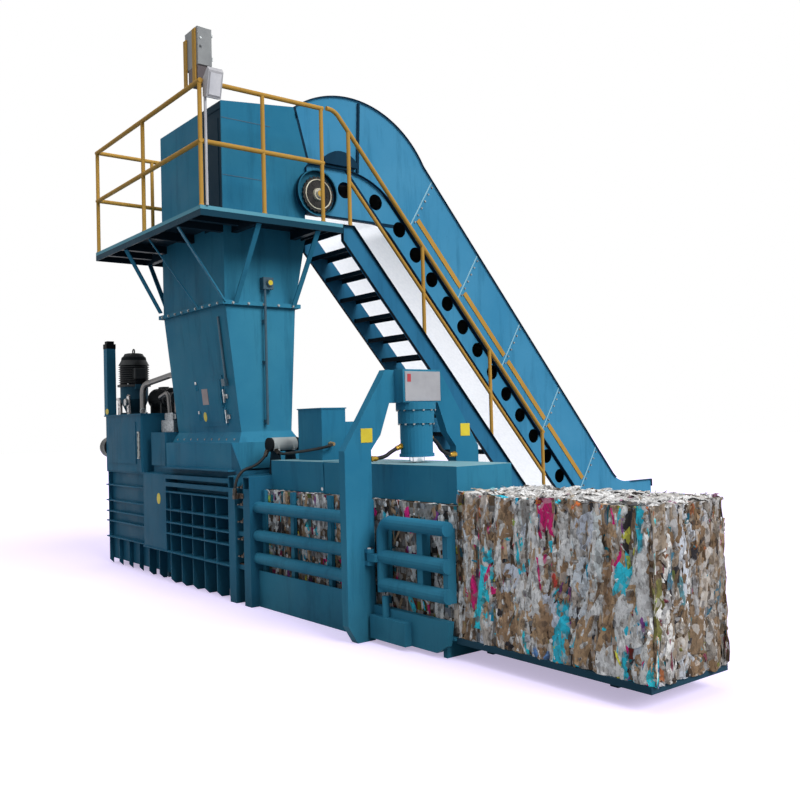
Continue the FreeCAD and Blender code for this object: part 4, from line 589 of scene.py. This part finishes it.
def along(tree, place, direction, start):
    """How far a point lies from a start along a direction."""
    dot = tree.nodes.new("ShaderNodeVectorMath")
    dot.operation = "DOT_PRODUCT"
    dot.inputs[1].default_value = direction
    tree.links.new(place, dot.inputs[0])
    return arithmetic(tree, "SUBTRACT", dot.outputs["Value"], Vector(start).dot(Vector(direction)))


def lipped(name, lip_from, strips, seam=None):
    """Board enamel; lips beyond a distance from the middle plane stand in dark primer, and strips along an edge take
    the same dark colour, as painted shade where they follow the beams' flanges.
    """
    finish, tree, surface, place = enamel(name, *BOARD_ENAMEL, darker_low=False)
    from_middle = arithmetic(tree, "ABSOLUTE", split(tree, place)["X"], 0.0)
    shade = surface.inputs["Base Color"].links[0].from_socket
    if seam:
        shade = blend_colours(tree, window(tree, from_middle, *seam), shade, linear("8fbccd"))
    primer_and_shade = spread(tree, from_middle, lip_from - 0.001, lip_from + 0.001)
    for direction, start, low, high in strips:
        primer_and_shade = arithmetic(tree, "MAXIMUM", primer_and_shade, window(tree, along(tree, place, direction, start), low, high))
    tree.links.new(blend_colours(tree, primer_and_shade, shade, linear("142f42")), surface.inputs["Base Color"])
    return finish


slope = math.radians(49.0)
down_slope = Vector((0, math.cos(slope), -math.sin(slope)))
off_slope = Vector((0, math.sin(slope), math.cos(slope)))
datum = Vector((0, 1.9, 3.9))
hood_edge = Vector((0, 0.9639, 0.2664))
dress(["side_boards"], lipped("board_enamel", 0.7125, [(hood_edge, (0, 0.39, 4.8), -0.05, 0.03)], (0.7065, 0.7115)))
# Painted shade: dark strips along the beams' upper and lower flanges and along their bottom edge.
dress(["conveyor_beam_front", "conveyor_beam_rear"],
      lipped("beam_enamel", 0.716, [(off_slope, datum, -0.206, -0.17), (off_slope, datum, -0.46, -0.424),
                                    ((0, 0, 1), (0, 0, 3.72), -0.01, 0.03)]))
# Painted light: the closing sheet's colour is lifted to near white, so that it reads as bright as the backdrop though
# it lies in shade.
closing, tree, surface, place = new_finish("galvanised_painted_light", 0.42, 0.9)
spangle = tree.nodes.new("ShaderNodeTexVoronoi")
spangle.inputs["Scale"].default_value = 28.0
tree.links.new(place, spangle.inputs["Vector"])
tree.links.new(blend_colours(tree, spread(tree, spangle.outputs["Distance"], 0.0, 0.9), linear("fcfdfe"),
                             linear("f4f6f8")), surface.inputs["Base Color"])
dress(["belly_pan"], closing)

# ---------------------------------------------------------------------------
# Belt with its cleats, covers and drives.  Black ribbed rubber on two drums;
# motors and bearings are cast housings in black paint, the drive over the tying
# frame is pale with dark ends, and the cover of the head is navy.

dress(["cleated_belt"], black_coat("belt_rubber", "191b1d", "2b2c2d", 0.75, 6.0))
housing = black_coat("cast_black", "101315", "25292c", 0.45, 12.0)
dress(["conveyor_bearings", "drive_gearmotor", "side_pump", "oil_cooler"], housing)
dress(["pump_motor"], banded("motor_enamel", [((("Z", 1.7, 2.13),), "31586b"), ((("Z", 1.7, 1.96),), "22414f")],
                             ("121417", "23272a", "0c0d0f")))
dress(["head_cover"], enamel("cover_primer", "132f44", "1b3d52", "0c1e2c", darker_low=False)[0])
dress(["tier_drive"], banded("drive_enamel", [((("Y", -0.3, -0.165),), "1d2124"), ((("Y", 0.085, 0.2),), "1d2124"),
                                              ((("Z", 1.1, 1.37),), "2a3a44")], ("c3c8c7", "a9afae", "8b9190")))

# ---------------------------------------------------------------------------
# Platform, struts and stair.  Checker plate deck with a pale edge strip that is
# painted highlight; the edge below it and the underside are dark as painted
# shade, and so are the treads, the inner faces and the lips of the stringers.


def deck_finish():
    """Enamel on top, a pale strip round the edge as painted highlight, painted shade on the edge below it and darker
    painted shade within the edge below.
    """
    finish, tree, surface, place = enamel("deck_enamel", *PETROL, darker_low=False)
    axes = split(tree, place)
    low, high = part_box("platform_deck")
    painted_shade_under = spread(tree, axes["Z"], high[2] - 0.005, high[2] - 0.003, 1.0, 0.0)
    for axis, first, last in (("X", low[0], high[0]), ("Y", low[1], high[1])):
        painted_shade_under = arithmetic(tree, "MULTIPLY", painted_shade_under, window(tree, axes[axis], first + 0.002, last - 0.002))
    # Painted highlight on the edge's top strip, painted shade on the edge below it.
    rim = window(tree, axes["Z"], high[2] - 0.034, high[2] + 0.01)
    before = surface.inputs["Base Color"].links[0].from_socket
    shade = blend_colours(tree, rim, linear("1c3f50"), linear("5f9cae"))
    on_top = spread(tree, axes["Z"], high[2] - 0.0015, high[2] - 0.0005)
    shade = blend_colours(tree, on_top, shade, before)
    tree.links.new(blend_colours(tree, painted_shade_under, shade, linear("14222c")), surface.inputs["Base Color"])
    checks = tree.nodes.new("ShaderNodeTexVoronoi")
    checks.inputs["Scale"].default_value = 42.0
    tree.links.new(place, checks.inputs["Vector"])
    relief(tree, surface, spread(tree, checks.outputs["Distance"], 0.15, 0.35, 1.0, 0.0), 0.5, 0.002)
    return finish


dress(["platform_deck"], deck_finish())


STAIR_MIDDLE = 0.86


def stair_finish():
    """Webs stay petrol; what lies between them or outside them is dark, as painted shade."""
    finish, tree, surface, place = enamel("stair_enamel", "2c6a8e", "357699", "183f57", darker_low=False)
    centre = arithmetic(tree, "SUBTRACT", split(tree, place)["X"], STAIR_MIDDLE)
    off = arithmetic(tree, "ABSOLUTE", centre, 0.0)
    inside = spread(tree, off, 0.3285, 0.3295, 1.0, 0.0)
    outside = spread(tree, off, 0.3395, 0.341)
    either = arithmetic(tree, "MAXIMUM", inside, outside)
    before = surface.inputs["Base Color"].links[0].from_socket
    tree.links.new(blend_colours(tree, either, before, linear("14242f")), surface.inputs["Base Color"])
    return finish


dress(["stair_flight", "stair_treads"], stair_finish())
ochre = enamel("ochre_enamel", "b68c42", "bf954b", "8d6f39", darker_low=False)[0]
dress(["rail_near", "rail_ends", "stair_rail", "guard_strips"], ochre)
dress(["outfeed_tray"], enamel("tray_enamel", "254557", "2c4f62", "14303e")[0])

# ---------------------------------------------------------------------------
# Switch cabinet, floodlight and sensors: folded sheet in light grey powder
# coat, with a fine texture.  The cabinet's cable box, below the door, is dark.


def powder_coat(name, colour, faded, dark_from_to=None):
    """Grey in faint clouds, and dark between two heights if they are given."""
    finish, tree, surface, place = new_finish(name, 0.5)
    shade = blend_colours(tree, spread(tree, grain(tree, place, 5.0, 4), 0.35, 0.65), linear(colour),
                          linear(faded))
    if dark_from_to:
        shade = blend_colours(tree, window(tree, split(tree, place)["Z"], *dark_from_to), shade, linear("3a2e33"))
    tree.links.new(shade, surface.inputs["Base Color"])
    relief(tree, surface, grain(tree, place, 420.0, 2), 0.25, 0.0008)
    return finish


CABINET_GREY = ("838687", "737678")
dress(["cabinet_door"], powder_coat("grey_powder", *CABINET_GREY))
dress(["control_cabinet"], powder_coat("casing_powder", *CABINET_GREY, (4.6, 4.793)))
dress(["floodlight"], powder_coat("lamp_powder", "b9b8bb", "a4a3a8"))
dress(["shaft_sensors"], powder_coat("sensor_powder", "2c5263", "213f4e"))

# ---------------------------------------------------------------------------
# Bare plates on the press: sheet aluminium blanks, stuck flat on their faces,
# with nothing printed on them.  Yellow ones mark the portal and the side panel.


def blank_plate(name, centre, outward, wide, tall, colour, body, thick=0.004, round_off=0.0):
    """A flat blank on a face: a disc, scaled to an oval, or a square with eased edges."""
    mesh = bmesh.new()
    outward = Vector(outward).normalized()
    upward = (Vector((0, 0, 1)) - outward * outward.z).normalized()
    sideways = upward.cross(outward)
    placing = Matrix((sideways, upward, outward)).transposed().to_4x4()
    placing.translation = Vector(centre) + outward * thick / 2
    if round_off:
        bmesh.ops.create_cone(mesh, cap_ends=True, segments=40, radius1=0.5, radius2=0.5, depth=1.0)
    else:
        bmesh.ops.create_cube(mesh, size=1.0)
    bmesh.ops.scale(mesh, vec=(wide, tall, thick), verts=mesh.verts)
    rim = [e for e in mesh.edges if abs(e.verts[0].co.z - e.verts[1].co.z) < thick / 2 and e.verts[0].co.z > 0]
    bmesh.ops.bevel(mesh, geom=rim, offset=thick * 0.35, segments=2, profile=0.5, affect="EDGES", material=-1)
    bmesh.ops.transform(mesh, matrix=placing, verts=mesh.verts)
    fit(mesh, name, powder_coat(name + "_face", *colour), body)


yellow = ("d9c52c", "c9b224")
blank_plate("portal_plate_near", (3.0, -0.46, 1.51), (1, 0, 0), 0.105, 0.105, yellow, "frame")
blank_plate("portal_plate_far", (3.0, 0.52, 1.53), (1, 0, 0), 0.10, 0.10, yellow, "frame")
blank_plate("head_plate", (3.11, 0.0, 1.872), (1, 0, 0), 0.345, 0.225, ("a7a6aa", "96959a"), "frame", 0.006)
blank_plate("head_plate_mark", (3.116, -0.135, 1.935), (1, 0, 0), 0.035, 0.06, ("b5343c", "a52d35"), "frame", 0.002)
blank_plate("panel_mark", (-0.74, -0.495, 0.86), (0, -1, 0), 0.09, 0.115, yellow, "frame", 0.003, 1.0)

# ---------------------------------------------------------------------------
# Bolted joints: hexagon heads on thick washers, zinc plated, along the band and
# the collar of the shaft, the seams of the boards and round the tension cylinder.
# The feed box has two folded seams.


def bolt(mesh, place, outward, across):
    """One head with its washer, as wide across as given."""
    place, outward = Vector(place), Vector(outward).normalized()
    cylinder(mesh, place, place + outward * across * 0.12, across * 0.62, sides=12)
    cylinder(mesh, place + outward * across * 0.12, place + outward * across * 0.62, across * 0.5, sides=6)


zinc = bare_steel("zinc_bolts", "a3a8a8", 0.42)
band_z, collar_z = 2.776, 1.478
heads = bmesh.new()
for k in range(9):
    x = -0.64 + 0.16 * k
    bolt(heads, (x, -0.455, band_z), (0, -1, 0), 0.022)
    bolt(heads, (x, -0.300, collar_z), (0, -1, -0.1), 0.022)
for k in range(5):
    for side in (1, -1):
        bolt(heads, (side * 0.745, -0.35 + 0.165 * k, band_z), (side, 0, 0), 0.022)
fit(heads, "shaft_bolts", zinc, "frame")

seams = bmesh.new()
for z, end in ((4.549, 0.118), (4.0, 0.026)):
    slab(seams, (0.7045, -0.412, z - 0.004), (0.7075, end, z + 0.004), 0.001)
fit(seams, "box_seams", plain_paint("seam_paint", "1f566f", "1a475c"), "frame")
heads = bmesh.new()
for k in range(5):
    top = datum + down_slope * (-0.11 + 1.02 * k) + off_slope * 0.473
    foot = datum + down_slope * (0.09 + 1.02 * k) - off_slope * 0.168
    for side in (-1, 1):
        for j in range(7):
            spot = top.lerp(foot, 0.06 + 0.88 * j / 6) + down_slope * 0.034
            bolt(heads, (side * 0.705, spot.y, spot.z), (side, 0, 0), 0.02)
fit(heads, "board_bolts", zinc, "frame")

cylinder_x = 3.02
heads = bmesh.new()
for k in range(12):
    turn = 2 * math.pi * (k + 0.5) / 12
    for radius, z, size in ((0.133, 1.59, 0.018), (0.147, 1.695, 0.016)):
        bolt(heads, (cylinder_x + radius * math.cos(turn), radius * math.sin(turn), z), (0, 0, -1), size)
fit(heads, "cylinder_bolts", zinc, "frame")

# ---------------------------------------------------------------------------
# Wire knotter in the slot of the tying frame: an upright drive shaft with five
# twister heads of dark cast iron, and the bracket that ends the drain hose.

iron = plain_paint("twister_iron", "2a2420", "473a30", 0.5, 0.4)
drive_x, drive_y = 1.08, -0.443
knotter = bmesh.new()
cylinder(knotter, (drive_x, drive_y, 0.36), (drive_x, drive_y, 1.13), 0.018)
for k in range(5):
    z = 0.42 + 0.155 * k
    cylinder(knotter, (drive_x, drive_y, z), (drive_x, drive_y, z + 0.02), 0.05, sides=20)
    cylinder(knotter, (drive_x, drive_y, z + 0.02), (drive_x, drive_y, z + 0.045), 0.034, 0.024, sides=20)
    slab(knotter, (1.035, -0.505, z + 0.004), (1.065, -0.44, z + 0.016), 0.003)
    slab(knotter, (1.095, -0.499, z + 0.004), (1.125, -0.44, z + 0.016), 0.003)
slab(knotter, (1.0, -0.47, 0.345), (1.16, -0.415, 0.36), 0.002)
fit(knotter, "wire_twisters", iron, "frame")
hanger = bmesh.new()
slab(hanger, (0.985, -0.518, 0.955), (1.175, -0.5105, 1.0), 0.002)
slab(hanger, (1.055, -0.562, 0.947), (1.095, -0.518, 0.985), 0.004)
bolt(hanger, (1.0, -0.518, 0.978), (0, -1, 0), 0.018)
bolt(hanger, (1.16, -0.518, 0.978), (0, -1, 0), 0.018)
fit(hanger, "drain_hose_bracket", iron, "frame")

# ---------------------------------------------------------------------------
# Power pack: cooling rings, cowl and lifting eye of the upright motor, its pipes
# and pressure gauges, and the rings of the two lying motors, cast in one.


def ring(mesh, centre, axis, big, small, steps=28):
    """A round eye or collar, swept once round its axis."""
    centre, axis = Vector(centre), Vector(axis).normalized()
    out = axis.orthogonal().normalized()
    frame_of = Matrix((out, axis, out.cross(axis))).transposed().to_4x4()
    frame_of.translation = centre + out * big
    loop = bmesh.ops.create_circle(mesh, cap_ends=False, segments=10, radius=small, matrix=frame_of)["verts"]
    edges = list({e for v in loop for e in v.link_edges})
    bmesh.ops.spin(mesh, geom=loop + edges, cent=centre, axis=axis, dvec=(0, 0, 0), angle=2 * math.pi,
                   steps=steps, use_merge=True)


pump_x, pump_y = -2.04, -0.225
tank_top = 1.775
fins = bmesh.new()
for k in range(8):
    z = 2.155 + 0.026 * k
    cylinder(fins, (pump_x, pump_y, z), (pump_x, pump_y, z + 0.008), 0.176, sides=40)
cylinder(fins, (pump_x, pump_y, 2.36), (pump_x, pump_y, 2.50), 0.178, 0.105, 40)
cylinder(fins, (pump_x, pump_y, 2.105), (pump_x, pump_y, 2.13), 0.192, sides=40)
ring(fins, (pump_x, pump_y, 2.528), (0, 1, 0), 0.028, 0.008)
slab(fins, (-1.915, -0.30, 2.19), (-1.82, -0.16, 2.32), 0.008)
for k in range(12):
    x = -1.735 + 0.032 * k
    cylinder(fins, (x, -0.06, 1.945), (x + 0.007, -0.06, 1.945), 0.125, sides=36)
slab(fins, (-1.63, -0.10, 2.05), (-1.50, -0.02, 2.085), 0.006)
fit(fins, "pump_motor_rings", housing, "frame")
pipes = bmesh.new()
for k in range(8):
    turn = k * math.pi / 4
    bolt(pipes, (pump_x + 0.172 * math.cos(turn), pump_y + 0.172 * math.sin(turn), 2.13), (0, 0, 1), 0.018)
cylinder(pipes, (-1.93, -0.34, tank_top), (-1.93, -0.34, 1.99), 0.022)
cylinder(pipes, (-1.93, -0.34, 1.99), (-1.99, -0.30, 2.05), 0.022)
cylinder(pipes, (-2.15, -0.36, tank_top), (-2.15, -0.36, 1.95), 0.028)
cylinder(pipes, (-2.15, -0.36, 1.95), (-2.15, -0.36, 1.98), 0.045, sides=6)
cylinder(pipes, (-1.70, -0.24, tank_top), (-1.70, -0.24, 1.90), 0.018)
fit(pipes, "pump_pipework", bare_steel("bright_pipe", "c9c4c2", 0.38), "frame")
dial_spots = ((-1.93, -0.385, 1.92), (-1.70, -0.275, 1.93))
dials = bmesh.new()
for x, y, z in dial_spots:
    cylinder(dials, (x, y + 0.03, z), (x, y, z), 0.042, sides=28)
fit(dials, "gauge_cases", zinc, "frame")
dials = bmesh.new()
for x, y, z in dial_spots:
    cylinder(dials, (x, y, z), (x, y - 0.003, z), 0.036, sides=28)
fit(dials, "gauge_faces", plain_paint("dial_white", "e6e2e0", "d4cfcd", 0.3), "frame")
head_y, head_z = 0.62, 3.93   # axis of the belt's head drum
fins = bmesh.new()
for k in range(10):
    y = 0.80 + 0.028 * k
    cylinder(fins, (-0.847, y, head_z), (-0.847, y + 0.007, head_z), 0.093, sides=32)
fit(fins, "belt_motor_rings", housing, "frame")

# ---------------------------------------------------------------------------
# Fittings of the oil tank: filler with breather cap, sight gauge in its guard
# and four lifting eyes, turned or cut from steel and screwed on.

tank_bits = bmesh.new()
cylinder(tank_bits, (-1.52, 0.24, tank_top), (-1.52, 0.24, 1.805), 0.06)
cylinder(tank_bits, (-1.52, 0.24, 1.805), (-1.52, 0.24, 1.865), 0.045, 0.04)
for x in (-2.34, -1.35):
    for y in (-0.40, 0.40):
        ring(tank_bits, (x, y, 1.80), (1, 0, 0), 0.03, 0.008, 20)
fit(tank_bits, "tank_fittings", zinc, "frame")
gauge = bmesh.new()
slab(gauge, (-1.375, -0.458, 1.28), (-1.345, -0.4495, 1.56), 0.002)
fit(gauge, "sight_gauge", plain_paint("gauge_glass", "c8d0c4", "b3bda9", 0.15), "frame")
gauge = bmesh.new()
for z in (1.268, 1.553):
    slab(gauge, (-1.385, -0.466, z), (-1.335, -0.4495, z + 0.02), 0.003)
for x in (-1.385, -1.341):
    slab(gauge, (x, -0.464, 1.285), (x + 0.006, -0.4495, 1.556), 0.001)
fit(gauge, "sight_gauge_guard", zinc, "frame")

# ---------------------------------------------------------------------------
# Chain wheel on the head shaft behind the round guard: a toothed steel disc,
# black with grease, on a pale turned hub with an ochre end cap.

wheel = bmesh.new()
steps = 72
rim = cylinder(wheel, (0.765, head_y, head_z), (0.777, head_y, head_z), 0.176, sides=steps)
for vert in rim:
    off = Vector((0, vert.co.y - head_y, vert.co.z - head_z))
    if off.length > 0.1 and round(math.atan2(off.z, off.y) / (2 * math.pi / steps)) % 3 == 0:
        vert.co += off.normalized() * 0.012
for k in range(6):
    turn = math.pi / 3 * k
    y, z = head_y + 0.115 * math.cos(turn), head_z + 0.115 * math.sin(turn)
    cylinder(wheel, (0.777, y, z), (0.781, y, z), 0.026, 0.022, sides=16)
fit(wheel, "chain_wheel", plain_paint("greasy_steel", "1b1a1a", "33302e", 0.4, 0.6), "head_drum")
hub = bmesh.new()
cylinder(hub, (0.752, head_y, head_z), (0.80, head_y, head_z), 0.070, 0.060, 32)
ring(hub, (0.781, head_y, head_z), (1, 0, 0), 0.150, 0.007, 48)
fit(hub, "chain_wheel_hub", plain_paint("hub_steel", "d3ccb6", "a9a28f", 0.4, 0.15), "head_drum")
hub = bmesh.new()
cylinder(hub, (0.80, head_y, head_z), (0.822, head_y, head_z), 0.038, 0.032)
fit(hub, "chain_wheel_cap", plain_paint("cap_ochre", "d8b04a", "b98f33", 0.4), "head_drum")

# ---------------------------------------------------------------------------
# Cabinet, lamp and post fittings: hinges and lock of the cabinet door, the lamp's
# glass and the round foot plates welded under the rail posts.

door_low, door_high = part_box("cabinet_door")
trim = bmesh.new()
for z in (door_low[2] + 0.05, door_high[2] - 0.07):
    cylinder(trim, (1.191, door_high[1] + 0.004, z), (1.191, door_high[1] + 0.004, z + 0.03), 0.006, sides=12)
cylinder(trim, (1.195, door_low[1] + 0.025, 5.03), (1.200, door_low[1] + 0.025, 5.03), 0.011, sides=20)
fit(trim, "cabinet_trim", zinc, "panel")
glass = bmesh.new()
lamp_low, lamp_high = Vector((1.2865, 0, 4.482)), Vector((1.3465, 0, 4.70))
lamp_up = (lamp_high - lamp_low).normalized()
lamp_out = Vector((lamp_up.z, 0, -lamp_up.x))
placing = Matrix((Vector((0, 1, 0)), lamp_up, -lamp_out)).transposed().to_4x4()
placing.translation = (lamp_low + lamp_high) / 2 + lamp_out * 0.0065
placing.translation.y = -0.78
grown = bmesh.ops.create_grid(glass, x_segments=6, y_segments=10, size=0.5)["verts"]
bmesh.ops.scale(glass, vec=(0.104, 0.186, 1), verts=grown)
bmesh.ops.solidify(glass, geom=glass.faces[:], thickness=0.002)
bmesh.ops.transform(glass, matrix=placing, verts=glass.verts)
fit(glass, "lamp_glass", plain_paint("lamp_glass_sheet", "d9d8dd", "c5c5cc", 0.08), "frame")
deck_z = 3.54
feet = bmesh.new()
for x, y in ((-1.335, -0.875), (-0.07, -0.875), (1.205, -0.875), (-1.335, -0.25), (-1.335, 0.39),
             (1.205, -0.25), (1.205, 0.39)):
    cylinder(feet, (x, y, deck_z), (x, y, deck_z + 0.008), 0.024, sides=24)
    cylinder(feet, (x, y, deck_z + 0.008), (x, y, deck_z + 0.016), 0.0235, 0.0205, sides=24)
fit(feet, "post_feet", ochre, "frame")

# ---------------------------------------------------------------------------
# Blanks on the shaft and the riser, of the same sheet: a grey plate and an oval on
# the hatch, which swing with it, a disc on the level sensor and one at the riser.

blank_plate("hatch_plate", (0.070, -0.3276, 1.906), (0, -0.99334, -0.11523), 0.13, 0.16,
            ("8e7f80", "7d6f71"), "hatch", 0.003)
blank_plate("hatch_oval", (0.020, -0.3044, 1.706), (0, -0.99334, -0.11523), 0.07, 0.095, yellow, "hatch", 0.003, 1.0)
blank_plate("sensor_disc", (0.800, 0.030, 2.985), (1, 0, 0), 0.05, 0.05, yellow, "frame", 0.003, 1.0)
blank_plate("riser_disc", (-2.30, -0.463, 1.82), (0, -1, 0), 0.10, 0.07, yellow, "frame", 0.003, 1.0)
